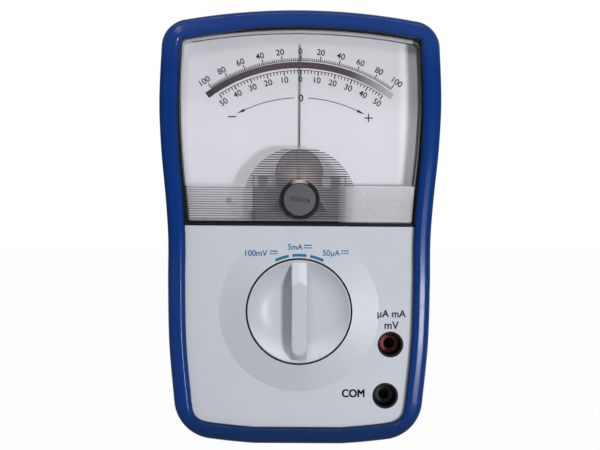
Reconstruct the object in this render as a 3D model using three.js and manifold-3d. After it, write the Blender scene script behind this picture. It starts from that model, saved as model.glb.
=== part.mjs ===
// Zero-centre galvanometer: a hand-held moving-coil meter in a rubber holster, with a range knob,
// two shrouded 4 mm sockets, a zero adjuster and a fold-out stand on its back.
// Lengths are in millimetres. The pieces are drawn as the meter faces the viewer: x to the right,
// y up the face and z out of the face, with z = 0 at the back of the holster and y = 0 under its foot.
// The exported group is turned at the end, so that +Z is up and the face looks towards -Y.
import * as THREE from "three";
import { mergeVertices } from "three/addons/utils/BufferGeometryUtils.js";
import Module from "manifold-3d";

const wasm = await Module();
wasm.setup();

// Driving dimensions of the outline
const overallHeight = 150;
const widestHalf = 48.95;
const topCrownRadius = 228;
const bottomCrownRadius = 235;
const topCornerRadius = 9.6;
const bottomCornerRadius = 14.1;
const leastCorner = 0.8;
const footHalf = 15;
// Height up the side and half width there, as shares of the overall height and of the widest half
const sideShares = [
  [0, 0.849], [0.1, 0.881], [0.23, 0.918], [0.37, 0.9295], [0.47, 0.9305],
  [0.56, 0.949], [0.68, 0.985], [0.79, 1], [0.93, 0.984], [1, 0.972],
];

// Driving dimensions through the depth
const fitGap = 0.3;
const cutOverrun = 1;
const holsterWall = 2.4;
const holsterBack = 4.2;
const caseWall = 2;
const caseDepth = 38.9;
const lipThickness = 2.7;
const lipInset = 6;
const lipTopInset = 6.1;
const lipBottomInset = 5.7;
const crestInset = 4;
const gripProud = 3.6;
const partingShare = 0.48;

const caseBack = holsterBack + fitGap;
const panelFace = caseBack + caseDepth;
const panelBack = panelFace - caseWall;
const lipFace = panelFace + fitGap + lipThickness;
const overallDepth = lipFace + gripProud;
const partingPlane = caseBack + caseDepth * partingShare;
const caseInset = holsterWall + fitGap;
const cavityInset = caseInset + caseWall;

// Where the working parts lie on the face: all but the sockets follow the pivot of the movement
const pivotShare = 0.5187;
const pivotHeight = overallHeight * pivotShare;
const adjusterRise = 6.6;
const adjusterHeight = pivotHeight + adjusterRise;
const panelDrop = 2.6;
const panelTop = pivotHeight - panelDrop;
const frameBar = 1.7;
const windowFloor = panelTop + frameBar;
const yokeHalf = 16;
const yokeBottom = 15.2;
const rotorRadius = 12;
const rotorMargin = 4.9;
const knobHeight = pivotHeight - yokeBottom - rotorRadius - rotorMargin;
const boardMargin = 4.6;
const boardTop = pivotHeight - yokeBottom - boardMargin;
const comY = 16.6;
const socketPitch = 17.8;
const plusY = comY + socketPitch;
const socketInset = 13.05;

const smallSides = 12;
const fineSides = 24;
const wheelSides = 56;
const weldReach = 1e-4;

// Solids from three.js geometry

function solidOf(geometry) {
  const loose = geometry.index ? geometry.toNonIndexed() : geometry;
  const bare = new THREE.BufferGeometry().setAttribute("position", loose.getAttribute("position"));
  const merged = mergeVertices(bare, weldReach);
  return new wasm.Manifold(new wasm.Mesh({
    numProp: 3,
    vertProperties: merged.attributes.position.array,
    triVerts: new Uint32Array(merged.index.array),
  }));
}

function geometryOf(solid) {
  const mesh = solid.getMesh();
  const geometry = new THREE.BufferGeometry();
  const places = new Float32Array(mesh.numVert * 3);
  for (let i = 0; i < mesh.numVert; i++) {
    places.set(mesh.vertProperties.subarray(i * mesh.numProp, i * mesh.numProp + 3), i * 3);
  }
  geometry.setAttribute("position", new THREE.BufferAttribute(places, 3));
  geometry.setIndex(new THREE.BufferAttribute(mesh.triVerts, 1));
  const shaded = geometry.toNonIndexed();
  shaded.computeVertexNormals();
  return shaded;
}

function union(first, ...others) {
  return others.reduce((sum, next) => sum.add(next), first);
}

function cut(first, ...others) {
  return others.reduce((rest, next) => rest.subtract(next), first);
}

// A box between two corners
function block(x0, x1, y0, y1, z0, z1) {
  const box = new THREE.BoxGeometry(x1 - x0, y1 - y0, z1 - z0);
  return solidOf(box.translate((x0 + x1) / 2, (y0 + y1) / 2, (z0 + z1) / 2));
}

// A round rod along z
function rod(radius, z0, z1, x = 0, y = 0, sides = smallSides) {
  const bar = new THREE.CylinderGeometry(radius, radius, z1 - z0, sides);
  return solidOf(bar.rotateX(Math.PI / 2).translate(x, y, (z0 + z1) / 2));
}

// A rod along x, between x0 and x1
function crossRod(radius, x0, x1, y, z, sides = smallSides) {
  const bar = new THREE.CylinderGeometry(radius, radius, x1 - x0, sides);
  return solidOf(bar.rotateZ(Math.PI / 2).translate((x0 + x1) / 2, y, z));
}

// A tube along z
function sleeve(outer, inner, z0, z1, x = 0, y = 0, sides = smallSides) {
  const bore = rod(inner, z0 - cutOverrun, z1 + cutOverrun, x, y, sides);
  return cut(rod(outer, z0, z1, x, y, sides), bore);
}

// A profile of [radius, z] turned about the z axis
function turned(profile, sides = fineSides) {
  const points = profile.map(([radius, z]) => new THREE.Vector2(radius, z));
  return solidOf(new THREE.LatheGeometry(points, sides).rotateX(Math.PI / 2));
}

// A flat outline of [x, y] pushed along z
function plate(outline, z0, z1, holes = []) {
  const shape = new THREE.Shape(outline.map(([x, y]) => new THREE.Vector2(x, y)));
  shape.holes = holes.map((hole) => new THREE.Path(hole.map(([x, y]) => new THREE.Vector2(x, y))));
  const slab = new THREE.ExtrudeGeometry(shape, { depth: z1 - z0, bevelEnabled: false });
  return solidOf(slab.translate(0, 0, z0));
}

// Points round an arc, both ends included
function arc(radius, from, to, steps, x = 0, y = 0) {
  return Array.from({ length: steps + 1 }, (_, i) => {
    const angle = from + ((to - from) * i) / steps;
    return [x + radius * Math.cos(angle), y + radius * Math.sin(angle)];
  });
}

// A skin through rings of equally many points: closed on itself, or capped at both ends
function skin(rings, closed) {
  const count = rings[0].length;
  const places = rings.flat().flat();
  const faces = [];
  const spans = closed ? rings.length : rings.length - 1;
  for (let r = 0; r < spans; r++) {
    const low = r * count;
    const high = ((r + 1) % rings.length) * count;
    for (let i = 0; i < count; i++) {
      const next = (i + 1) % count;
      faces.push(low + i, low + next, high + next, low + i, high + next, high + i);
    }
  }
  if (!closed) {
    const flat = (ring) => ring.map(([x, y]) => new THREE.Vector2(x, y));
    const top = (rings.length - 1) * count;
    for (const [a, b, c] of THREE.ShapeUtils.triangulateShape(flat(rings[0]), [])) {
      faces.push(a, c, b);
    }
    for (const [a, b, c] of THREE.ShapeUtils.triangulateShape(flat(rings.at(-1)), [])) {
      faces.push(top + a, top + b, top + c);
    }
  }
  const geometry = new THREE.BufferGeometry();
  geometry.setAttribute("position", new THREE.Float32BufferAttribute(places, 3));
  geometry.setIndex(faces);
  return solidOf(geometry);
}

// The outline of the face, and the outlines that run parallel inside it

const crownSteps = 5;
const cornerSteps = 5;
const sideSteps = 9;
const centreRounds = 30;
const slopeShare = 1 / 1000;

// Half width of the holster at a height, by a smooth curve through the side's stations
function halfWidthAt(height) {
  const at = sideShares.map(([up, out]) => [up * overallHeight, out * widestHalf]);
  const last = at.length - 2;
  const found = at.findIndex(([y], i) => i <= last && height < at[i + 1][0] && height >= y);
  const i = height < at[0][0] ? 0 : found < 0 ? last : found;
  const slope = (k) => {
    const a = at[Math.max(k - 1, 0)];
    const b = at[Math.min(k + 1, at.length - 1)];
    return (b[1] - a[1]) / (b[0] - a[0]);
  };
  const run = at[i + 1][0] - at[i][0];
  const t = Math.min(Math.max((height - at[i][0]) / run, 0), 1);
  const rise = 3 * t * t - 2 * t * t * t;
  const leave = (t * t * t - 2 * t * t + t) * run * slope(i);
  const arrive = (t * t * t - t * t) * run * slope(i + 1);
  return at[i][1] * (1 - rise) + at[i + 1][1] * rise + leave + arrive;
}

function sideSlopeAt(height) {
  const step = overallHeight * slopeShare;
  return (halfWidthAt(height + step) - halfWidthAt(height - step)) / (2 * step);
}

// The curve of the side at a height, moved in by an inset square to itself
function sideAt(height, inset) {
  return halfWidthAt(height) - inset * Math.hypot(1, sideSlopeAt(height));
}

// The centre of a corner's arc, which touches the side and a crown whose centre is on the y axis
function cornerCentre(inset, radius, crownCentre, crownRadius, up) {
  let y = up > 0 ? overallHeight : 0;
  let x = 0;
  for (let i = 0; i < centreRounds; i++) {
    x = sideAt(y, inset + radius);
    y = crownCentre + up * Math.sqrt((crownRadius - radius) ** 2 - x * x);
  }
  return [x, y];
}

// Half of an outline, from the foot's middle to the crown's middle
function halfOutline(inset, topInset, bottomInset, floor) {
  const points = [];
  const bottomCorner = Math.max(bottomCornerRadius - inset, leastCorner);
  const topCorner = Math.max(topCornerRadius - inset, leastCorner);
  const footDrop = bottomCrownRadius - Math.sqrt(bottomCrownRadius ** 2 - footHalf ** 2);
  const lowRadius = bottomCrownRadius - bottomInset;
  const lowCentre = bottomInset - footDrop + lowRadius;
  const highRadius = topCrownRadius - topInset;
  const highCentre = overallHeight - topInset - highRadius;
  let low;
  let fromAngle;
  if (floor === undefined) {
    low = cornerCentre(inset, bottomCorner, lowCentre, lowRadius, -1);
    fromAngle = Math.atan2(low[1] - lowCentre, low[0]);
    const reach = lowRadius * Math.cos(fromAngle);
    for (let i = 0; i < crownSteps; i++) {
      const x = footHalf + ((reach - footHalf) * i) / crownSteps;
      const y = lowCentre - Math.sqrt(lowRadius ** 2 - x * x);
      points.push([x, Math.max(y, bottomInset)]);
    }
  } else {
    const centreY = floor + leastCorner;
    low = [sideAt(centreY, inset + leastCorner), centreY];
    fromAngle = -Math.PI / 2;
  }
  const lowTurn = floor === undefined ? bottomCorner : leastCorner;
  const lowSide = Math.atan(-sideSlopeAt(low[1]));
  points.push(...arc(lowTurn, fromAngle, lowSide, cornerSteps, low[0], low[1]));
  const high = cornerCentre(inset, topCorner, highCentre, highRadius, 1);
  const highSide = Math.atan(-sideSlopeAt(high[1]));
  const toAngle = Math.atan2(high[1] - highCentre, high[0]);
  const start = points.at(-1)[1];
  const end = high[1] + topCorner * Math.sin(highSide);
  for (let i = 1; i < sideSteps; i++) {
    const y = start + ((end - start) * i) / sideSteps;
    points.push([sideAt(y, inset), y]);
  }
  points.push(...arc(topCorner, highSide, toAngle, cornerSteps, high[0], high[1]));
  const middle = Math.PI / 2;
  points.push(...arc(highRadius, toAngle, middle, crownSteps, 0, highCentre).slice(1, -1));
  return points;
}

// A whole outline, anticlockwise. A floor makes it a window that ends in a straight line
function outline(inset, { floor, topInset = inset, bottomInset = inset } = {}) {
  const right = halfOutline(inset, topInset, bottomInset, floor);
  const crown = [0, overallHeight - topInset];
  const left = right.map(([x, y]) => [-x, y]).reverse();
  return [...right, crown, ...left];
}

function ringAt(inset, z, options) {
  return outline(inset, options).map(([x, y]) => [x, y, z]);
}

const materials = {};

function material(name, colour, roughness, metalness = 0, opacity = 1) {
  materials[name] = new THREE.MeshStandardMaterial({
    color: colour,
    roughness,
    metalness,
    opacity,
    transparent: opacity < 1,
  });
}

material("holster_rubber", 0x1d3c82, 0.5);
material("panel_plastic", 0xbfc6cf, 0.5);
material("black_plastic", 0x1a1a1d, 0.45);
material("clear_plastic", 0xe8ecf0, 0.05, 0, 0.25);
material("dial_white", 0xe6e6ea, 0.6);
material("mirror", 0x6f6a6c, 0.05, 1);
material("adjuster_grey", 0x55585c, 0.45);
material("brass", 0xb5923f, 0.35, 1);
material("copper", 0xb0633c, 0.4, 1);
material("steel", 0x9a9ca0, 0.35, 1);
material("aluminium", 0xb8babd, 0.4, 1);
material("magnet", 0x4a4b4e, 0.5, 1);
material("needle_black", 0x141416, 0.5);
material("red_plastic", 0x8e1f2b, 0.4);
material("board_green", 0x2c5a3a, 0.6);
material("glass", 0xdfe6e6, 0.05, 0, 0.35);
material("resistor_body", 0xbfa57a, 0.6);

function piece(name, solid, finish, x = 0, y = 0, z = 0) {
  const mesh = new THREE.Mesh(geometryOf(solid), materials[finish]);
  mesh.name = name;
  mesh.position.set(x, y, z);
  return mesh;
}

// The holster: a boot with a rounded edge at its back, a bead round the face and a bay for the stand

const backRound = 2.8;
const sideRound = 2.6;
const lipRun = 0.5;
const roundSteps = 4;

const standTop = 86;
const standFoot = 24;
const standHalfTop = 24;
const standHalfFoot = 19;
const standThickness = 2.2;
const standRise = 0.2;
const standPin = 0.9;
const trunnionLength = 1.6;
const thumbRadius = 7;
const ribWidth = 1.6;
const ribHeight = 0.5;
const standRibShares = [-0.5, 0, 0.5];
const bayDepth = standThickness + standRise + ribHeight;
const standAxis = standRise + standThickness / 2;
const standHinge = standTop - standThickness / 2;

// The stand's outline, grown by a margin: a plate that narrows towards its foot
function standOutline(margin) {
  const low = standFoot - margin;
  const high = standTop + margin;
  const wide = standHalfTop + margin;
  const narrow = standHalfFoot + margin;
  return [[-narrow, low], [narrow, low], [wide, high], [-wide, high]];
}

function holster() {
  const rings = [];
  for (let i = 0; i <= roundSteps; i++) {
    const angle = (Math.PI / 2) * (i / roundSteps);
    rings.push(ringAt(backRound * (1 - Math.sin(angle)), backRound * (1 - Math.cos(angle))));
  }
  const shoulder = lipFace - sideRound;
  for (let i = 0; i <= roundSteps; i++) {
    const angle = (Math.PI / 2) * (i / roundSteps);
    const inset = crestInset - crestInset * Math.cos(angle);
    rings.push(ringAt(inset, shoulder + sideRound * Math.sin(angle)));
  }
  const reach = lipInset - crestInset + lipRun;
  for (let i = 1; i <= roundSteps; i++) {
    const angle = (Math.PI / 2) * (i / roundSteps);
    const inset = crestInset + reach * Math.sin(angle);
    rings.push(ringAt(inset, lipFace - lipThickness * (1 - Math.cos(angle))));
  }
  const seat = panelFace + fitGap;
  const mouth = { topInset: lipTopInset, bottomInset: lipBottomInset };
  const inside = skin([
    ringAt(holsterWall, holsterBack),
    ringAt(holsterWall, seat),
    ringAt(lipInset, seat, mouth),
    ringAt(lipInset, lipFace + cutOverrun, mouth),
  ]);
  const bay = plate(standOutline(fitGap), -cutOverrun, bayDepth);
  const scoop = arc(thumbRadius, Math.PI, 2 * Math.PI, smallSides, 0, standFoot);
  const thumb = plate(scoop, -cutOverrun, bayDepth);
  const reachOut = standHalfTop + fitGap + trunnionLength;
  const pinHole = crossRod(standPin + fitGap, -reachOut, reachOut, standHinge, standAxis);
  const body = cut(skin(rings), inside, bay, thumb, pinHole);
  return piece("holster", body, "holster_rubber");
}

function tiltStand() {
  const slab = plate(standOutline(0), standRise, standRise + standThickness);
  const corner = block(
    -standHalfTop, standHalfTop, standHinge, standTop + cutOverrun, 0, bayDepth,
  );
  const knuckle = crossRod(standThickness / 2, -standHalfFoot, standHalfFoot, standHinge, standAxis);
  const reachOut = standHalfTop + trunnionLength;
  const pins = crossRod(standPin, -reachOut, reachOut, standHinge, standAxis);
  const taper = (standHalfTop - standHalfFoot) / (standTop - standFoot);
  const ribs = standRibShares.map((share) => {
    const x = share * standHalfFoot * 2 * (1 - taper);
    const front = standRise + standThickness;
    const foot = standFoot + ribWidth;
    const head = standHinge - standThickness;
    return block(x - ribWidth / 2, x + ribWidth / 2, foot, head,
      front - ribHeight / 2, front + ribHeight / 2);
  });
  const body = union(cut(slab, corner), knuckle, pins, ...ribs);
  return piece("tilt_stand", body, "black_plastic");
}

// The case: two grey shells that meet at the parting line, with pillars for four screws

const edgeRound = 0.5;
const pillarRadius = 3;
const rearPillarRadius = 4;
const screwRadius = 1.4;
const screwHeadRadius = 2.6;
const screwHeadDepth = 1.8;
const slotWidth = 0.6;
const slotDepth = 0.6;
const screwSeat = caseBack + caseWall + screwHeadDepth;
const lowPillarX = 14;
const lowPillarY = 11;
const highPillarDrop = 22;
const highPillarY = overallHeight - highPillarDrop;
const highPillarInset = cavityInset + pillarRadius - caseWall / 4;
const openingInset = cavityInset + fitGap;
const dialSink = 9.7;
const dialThickness = 0.6;
const dialFace = panelFace - dialSink;
const dialBack = dialFace - dialThickness;
const bridgeClear = 4;
const bridgeLow = dialFace + bridgeClear;
const bridgeThickness = 1.2;
const jewelProud = 0.5;
const movementFront = bridgeLow + bridgeThickness + jewelProud;
const screwMargin = 2.8;
const screwLength = dialBack - screwMargin - screwSeat;

const coneRadius = 27.8;
const coneRise = 2.2;
const knobRadius = 18.1;
const knobGap = 0.4;
const wellWall = 1.6;
const wellDepth = 3.5;
const wellFloor = panelFace - wellDepth;
const wellPlate = 1.5;
const shaftRadius = 3.3;

const socketRadius = 4.2;
const socketWall = 0.4;
const shroudWall = 1.5;
const socketTube = 3.1;
const socketDrop = 10;
const plugRadius = 2;
const contactWall = 0.35;
const boardFace = 26.6;
const boardThickness = 1.6;
const boardBack = boardFace - boardThickness;
const boardGap = 0.5;
const socketPlaces = {
  plus: [sideAt(plusY, socketInset), plusY],
  com: [sideAt(comY, socketInset), comY],
};

const movementScrewX = 12.4;
const movementScrewDrop = 12.2;
const movementScrewY = pivotHeight - movementScrewDrop;
const movementScrewRadius = 1.2;

const pillarPlaces = [
  [-lowPillarX, lowPillarY],
  [lowPillarX, lowPillarY],
  [-sideAt(highPillarY, highPillarInset), highPillarY],
  [sideAt(highPillarY, highPillarInset), highPillarY],
];

function frontCase() {
  const foot = partingPlane + fitGap / 2;
  const shell = skin([
    ringAt(caseInset, foot),
    ringAt(caseInset, panelFace - 2 * edgeRound),
    ringAt(caseInset + edgeRound, panelFace),
  ]);
  const cavity = skin([ringAt(cavityInset, foot - cutOverrun), ringAt(cavityInset, panelBack)]);
  const opening = skin([
    ringAt(openingInset, panelBack - cutOverrun, { floor: panelTop }),
    ringAt(openingInset, panelFace + cutOverrun, { floor: panelTop }),
  ]);
  const coneTop = knobRadius + knobGap;
  const cup = turned([
    [0, wellFloor - wellPlate],
    [coneTop + wellWall, wellFloor - wellPlate],
    [coneTop + wellWall, panelBack],
    [coneRadius, panelFace - edgeRound],
    [coneRadius, panelFace],
    [coneTop, panelFace + coneRise],
    [0, panelFace + coneRise],
  ], wheelSides).translate(0, knobHeight, 0);
  const well = rod(coneTop, wellFloor, lipFace, 0, knobHeight, wheelSides);
  const shaftHole = rod(shaftRadius + fitGap, foot, lipFace, 0, knobHeight, fineSides);
  const pillars = pillarPlaces.map(([x, y]) => {
    const top = y < panelTop ? panelBack + edgeRound : dialBack - fitGap;
    return rod(pillarRadius, foot, top, x, y, smallSides);
  });
  const yokePosts = [-movementScrewX, movementScrewX].map((x) =>
    rod(pillarRadius, dialFace, panelBack + edgeRound, x, movementScrewY, smallSides));
  const shrouds = Object.values(socketPlaces).map(([x, y]) =>
    rod(socketRadius + fitGap + shroudWall, boardFace + boardGap, panelBack + edgeRound, x, y, fineSides));
  const bores = Object.values(socketPlaces).map(([x, y]) =>
    rod(socketRadius + fitGap, boardFace - cutOverrun, lipFace, x, y, fineSides));
  const threads = pillarPlaces.map(([x, y]) =>
    rod(screwRadius + fitGap, foot - cutOverrun, screwSeat + screwLength + fitGap, x, y));
  const yokeThreads = [-movementScrewX, movementScrewX].map((x) =>
    rod(movementScrewRadius + fitGap, dialFace - cutOverrun, panelBack - cutOverrun, x, movementScrewY));
  const hollow = cut(shell, cavity, opening);
  const built = union(hollow, cup, ...pillars, ...yokePosts, ...shrouds);
  const body = cut(built, well, shaftHole, ...bores, ...threads, ...yokeThreads);
  return piece("front_case", body, "panel_plastic");
}

function rearCase() {
  const rim = partingPlane - fitGap / 2;
  const shell = skin([
    ringAt(caseInset + 2 * edgeRound, caseBack),
    ringAt(caseInset, caseBack + 2 * edgeRound),
    ringAt(caseInset, rim),
  ]);
  const floor = caseBack + caseWall;
  const cavity = skin([ringAt(cavityInset, floor), ringAt(cavityInset, rim + cutOverrun)]);
  const pillars = pillarPlaces.map(([x, y]) => rod(rearPillarRadius, caseBack + edgeRound, rim, x, y));
  const outside = skin([ringAt(caseInset + edgeRound, 0), ringAt(caseInset + edgeRound, rim + cutOverrun)]);
  const kept = pillars.map((pillar) => pillar.intersect(outside));
  const headRoom = pillarPlaces.map(([x, y]) =>
    rod(screwHeadRadius + fitGap, caseBack - cutOverrun, screwSeat, x, y));
  const shanks = pillarPlaces.map(([x, y]) =>
    rod(screwRadius + fitGap, caseBack, rim + cutOverrun, x, y));
  const body = cut(union(cut(shell, cavity), ...kept), ...headRoom, ...shanks);
  return piece("rear_case", body, "panel_plastic");
}

// A slotted screw that points towards +z, with its head below its seat
function slottedScrew(seat, length, radius, headRadius, headDepth) {
  const slot = block(
    -headRadius - cutOverrun, headRadius + cutOverrun,
    -slotWidth / 2, slotWidth / 2,
    seat - headDepth - cutOverrun, seat - headDepth + slotDepth,
  );
  const body = turned([
    [0, seat - headDepth],
    [headRadius, seat - headDepth],
    [headRadius, seat],
    [radius, seat],
    [radius, seat + length],
    [0, seat + length],
  ], smallSides);
  return cut(body, slot);
}

function caseScrews() {
  return pillarPlaces.map(([x, y], i) => piece(
    `case_screw_${i + 1}`,
    slottedScrew(screwSeat, screwLength, screwRadius, screwHeadRadius, screwHeadDepth),
    "steel", x, y,
  ));
}

// The meter window: a black frame with a ledge, and a clear cover with a ribbed dome that hides the movement

const frameReveal = 0.2;
const frameRoom = 1;
const frameInset = openingInset + fitGap;
const rebateInset = 6.6;
const ledgeInset = 7.7;
const windowInset = rebateInset + fitGap;
const windowSink = 0.4;
const windowThickness = 1.8;
const windowChamfer = 0.5;
const windowFace = panelFace - windowSink;
const windowBack = windowFace - windowThickness;
const frameFloor = panelTop + fitGap;
const rebateSill = 0.7;
const rebateFloor = frameFloor + rebateSill;
const domeRadius = 19.8;
const domeRise = 5.2;
const domeHeight = pivotHeight + domeRise;
const bandRise = 11.4;
const domeFoot = pivotHeight + bandRise;
const bandBottom = windowFloor + frameRoom / 2;
const ribPitch = 0.82;
const grooveWidth = 0.34;
const grooveDepth = 0.3;

const bushRadius = 6.45;
const bushFlange = 6.95;
const bushFlangeHeight = 0.8;
const discRadius = 5.55;

function windowFrame() {
  const back = dialFace + fitGap;
  const front = panelFace - frameReveal;
  const ledge = windowBack - fitGap;
  const solid = (inset, floor, low, high) =>
    skin([ringAt(inset, low, { floor }), ringAt(inset, high, { floor })]);
  const movementRoom = block(-yokeHalf - frameRoom, yokeHalf + frameRoom, frameFloor - cutOverrun,
    windowFloor + cutOverrun, back - cutOverrun, movementFront + fitGap);
  const body = cut(
    solid(frameInset, frameFloor, back, front),
    solid(rebateInset, rebateFloor, ledge, front + cutOverrun),
    solid(ledgeInset, windowFloor, back - cutOverrun, ledge + cutOverrun),
    movementRoom,
  );
  return piece("window_frame", body, "black_plastic");
}

function windowCover() {
  const floor = rebateFloor + fitGap;
  const pane = skin([
    ringAt(windowInset, windowBack, { floor }),
    ringAt(windowInset, windowFace - windowChamfer, { floor }),
    ringAt(windowInset + windowChamfer, windowFace, { floor: floor + windowChamfer }),
  ]);
  const side = sideAt(domeHeight, ledgeInset);
  const springing = Math.sqrt(Math.max(domeRadius ** 2 - (domeFoot - domeHeight) ** 2, 0));
  const mask = plate([
    [side, bandBottom],
    [side, domeFoot],
    ...arc(domeRadius, Math.asin((domeFoot - domeHeight) / domeRadius),
      Math.PI - Math.asin((domeFoot - domeHeight) / domeRadius), fineSides, 0, domeHeight),
    [-side, domeFoot],
    [-side, bandBottom],
  ], windowFace - grooveDepth - cutOverrun, windowFace + cutOverrun);
  const grooves = [];
  const count = Math.floor((domeHeight + domeRadius - bandBottom) / ribPitch);
  for (let i = 0; i < count; i++) {
    const y = bandBottom + ribPitch * (i + 1 / 2);
    const reach = y < domeFoot ? side : springing;
    grooves.push(block(-reach, reach, y - grooveWidth / 2, y + grooveWidth / 2,
      windowFace - grooveDepth, windowFace + cutOverrun));
  }
  const ribbing = union(...grooves).intersect(mask);
  const hole = rod(bushRadius + fitGap, windowBack - cutOverrun, windowFace + cutOverrun,
    0, adjusterHeight, fineSides);
  return piece("window", cut(pane, ribbing, hole), "clear_plastic");
}

function adjusterBush() {
  const bore = discRadius + fitGap;
  const body = turned([
    [bore, windowBack],
    [bushRadius, windowBack],
    [bushRadius, windowFace],
    [bushFlange, windowFace],
    [bushFlange, windowFace + bushFlangeHeight],
    [bore, windowFace + bushFlangeHeight],
    [bore, windowBack],
  ], fineSides);
  return piece("adjuster_bush", body, "black_plastic", 0, adjusterHeight);
}

// The zero adjuster: a slotted disc whose eccentric pin moves the zero lever

const discProud = 1;
const discLipHeight = 0.7;
const adjusterSlotLength = 7;
const adjusterSlotWidth = 1.4;
const adjusterSlotDepth = 0.9;
const adjusterSlotTilt = -8 * (Math.PI / 180);
const eccentricRadius = 1.1;
const eccentricPin = 0.5;
const leverClear = 2.7;
const leverLow = dialFace + leverClear;
const leverThickness = 0.5;

function zeroAdjuster() {
  const lip = windowBack - fitGap;
  const top = windowFace + discProud;
  const disc = turned([
    [0, lip - discLipHeight],
    [bushRadius, lip - discLipHeight],
    [bushRadius, lip],
    [discRadius, lip],
    [discRadius, top],
    [0, top],
  ], fineSides);
  const half = adjusterSlotLength / 2;
  const slotPoints = [
    ...arc(adjusterSlotWidth / 2, -Math.PI / 2, Math.PI / 2, smallSides / 2, half - adjusterSlotWidth / 2, 0),
    ...arc(adjusterSlotWidth / 2, Math.PI / 2, (3 * Math.PI) / 2, smallSides / 2,
      adjusterSlotWidth / 2 - half, 0),
  ].map(([x, y]) => [
    x * Math.cos(adjusterSlotTilt) - y * Math.sin(adjusterSlotTilt),
    x * Math.sin(adjusterSlotTilt) + y * Math.cos(adjusterSlotTilt),
  ]);
  const slot = plate(slotPoints, top - adjusterSlotDepth, top + cutOverrun);
  const pin = rod(eccentricPin, leverLow - fitGap, lip, 0, eccentricRadius);
  return piece("zero_adjuster", union(cut(disc, slot), pin), "adjuster_grey", 0, adjusterHeight);
}

// The dial: a white plate with a notch for the movement, a curved mirror and two screws

const domeCut = 8;
const yokeTop = 14.6;
const domeSpring = 16;
const dialTuck = 3;
const dialFloor = panelTop - dialTuck;
const dialInset = openingInset + fitGap;
const dialScrewX = 24.5;
const dialScrewRise = 6.3;
const dialScrewY = pivotHeight + dialScrewRise;
const dialScrewRadius = 0.6;
const dialScrewHead = 1;
const dialScrewHeadHeight = 0.5;
const mirrorShare = 0.7445;
const mirrorRadius = (overallHeight - pivotHeight) * mirrorShare;
const mirrorWidth = 2.2;
const mirrorThickness = 0.2;
const mirrorHalfAngle = 37.1 * (Math.PI / 180);
const earReach = 28;
const earHalf = 3.4;
const earThickness = 2.4;

// The movement's outline: a square column with a round dome on top, grown by a margin
function columnOutline(margin) {
  const half = yokeHalf + margin;
  const dome = arc(domeCut + margin, 0, Math.PI, smallSides, 0, domeSpring);
  return [
    [half, -yokeBottom - margin],
    [half, yokeTop + margin],
    ...(domeSpring > yokeTop + margin ? [[domeCut + margin, yokeTop + margin]] : []),
    ...dome,
    ...(domeSpring > yokeTop + margin ? [[-domeCut - margin, yokeTop + margin]] : []),
    [-half, yokeTop + margin],
    [-half, -yokeBottom - margin],
  ].map(([x, y]) => [x, y + pivotHeight]);
}

function dialPlate() {
  const slab = skin([
    ringAt(dialInset, dialBack, { floor: dialFloor }),
    ringAt(dialInset, dialFace, { floor: dialFloor }),
  ]);
  const notch = plate(columnOutline(fitGap), dialBack - cutOverrun, dialFace + cutOverrun);
  const holes = [-dialScrewX, dialScrewX].map((x) =>
    rod(dialScrewRadius + fitGap, dialBack - cutOverrun, dialFace + cutOverrun, x, dialScrewY));
  return piece("dial_plate", cut(slab, notch, ...holes), "dial_white");
}

function mirrorStrip() {
  const low = Math.PI / 2 - mirrorHalfAngle;
  const high = Math.PI / 2 + mirrorHalfAngle;
  const band = plate([
    ...arc(mirrorRadius + mirrorWidth / 2, low, high, fineSides, 0, pivotHeight),
    ...arc(mirrorRadius - mirrorWidth / 2, high, low, fineSides, 0, pivotHeight),
  ], dialFace, dialFace + mirrorThickness);
  return piece("mirror_strip", band, "mirror");
}

function dialScrews() {
  return [-dialScrewX, dialScrewX].map((x, i) => {
    const top = dialFace + dialScrewHeadHeight;
    const body = turned([
      [0, dialBack - earThickness],
      [dialScrewRadius, dialBack - earThickness],
      [dialScrewRadius, dialFace],
      [dialScrewHead, dialFace],
      [dialScrewHead, top],
      [0, top],
    ], smallSides);
    return piece(`dial_screw_${i + 1}`, body, "steel", x, dialScrewY);
  });
}

// The movement: a moving coil on two pivots round a fixed core, in the bore of a yoke.
// Its pieces are drawn round the pivot's axis.

const yokeDepth = 13;
const yokeFace = dialBack + dialThickness - fitGap;
const yokeBack = yokeFace - yokeDepth;
const yokeBore = 9.6;
const coreRadius = 6.4;
const coreInset = 2;
const coreTongue = 1.8;
const coilHalf = 8.9;
const windingWidth = 1.3;
const coilThickness = 1.5;
const formerWall = 0.5;
const coilRound = 1.2;
const pivotPin = 0.45;
const colletRadius = 1;
const colletHeight = 0.8;
const pointerClear = 0.7;
const pointerLow = dialFace + pointerClear;
const pointerThickness = 0.4;
const hubRadius = 1.7;
const needleShare = 0.8436;
const needleReach = (overallHeight - pivotHeight) * needleShare;
const needleRootHalf = 0.24;
const needleTipHalf = 0.13;
const tailReach = 6.6;
const armReach = 6.2;
const weightRadius = 1.35;
const weightHeight = 1.9;
const armWeightHeight = 0.8;
const springClear = 2;
const springMiddle = dialFace + springClear;
const springInner = 1.45;
const springOuter = 4.2;
const springLoops = 3;
const springStripHalf = 0.09;
const springHeight = 0.45;
const springBulge = 1.2;
const loopSteps = 24;
const bridgeHalf = 2.4;
const bridgePostX = 13.4;
const bridgePostRadius = 1.6;
const jewelRadius = 1.9;
const jewelClear = 2.5;
const jewelLow = dialFace + jewelClear;
const jewelBore = 1;
const leverRing = 3.3;
const frameSteps = 4;
const rearPostHeight = 3.6;

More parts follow.
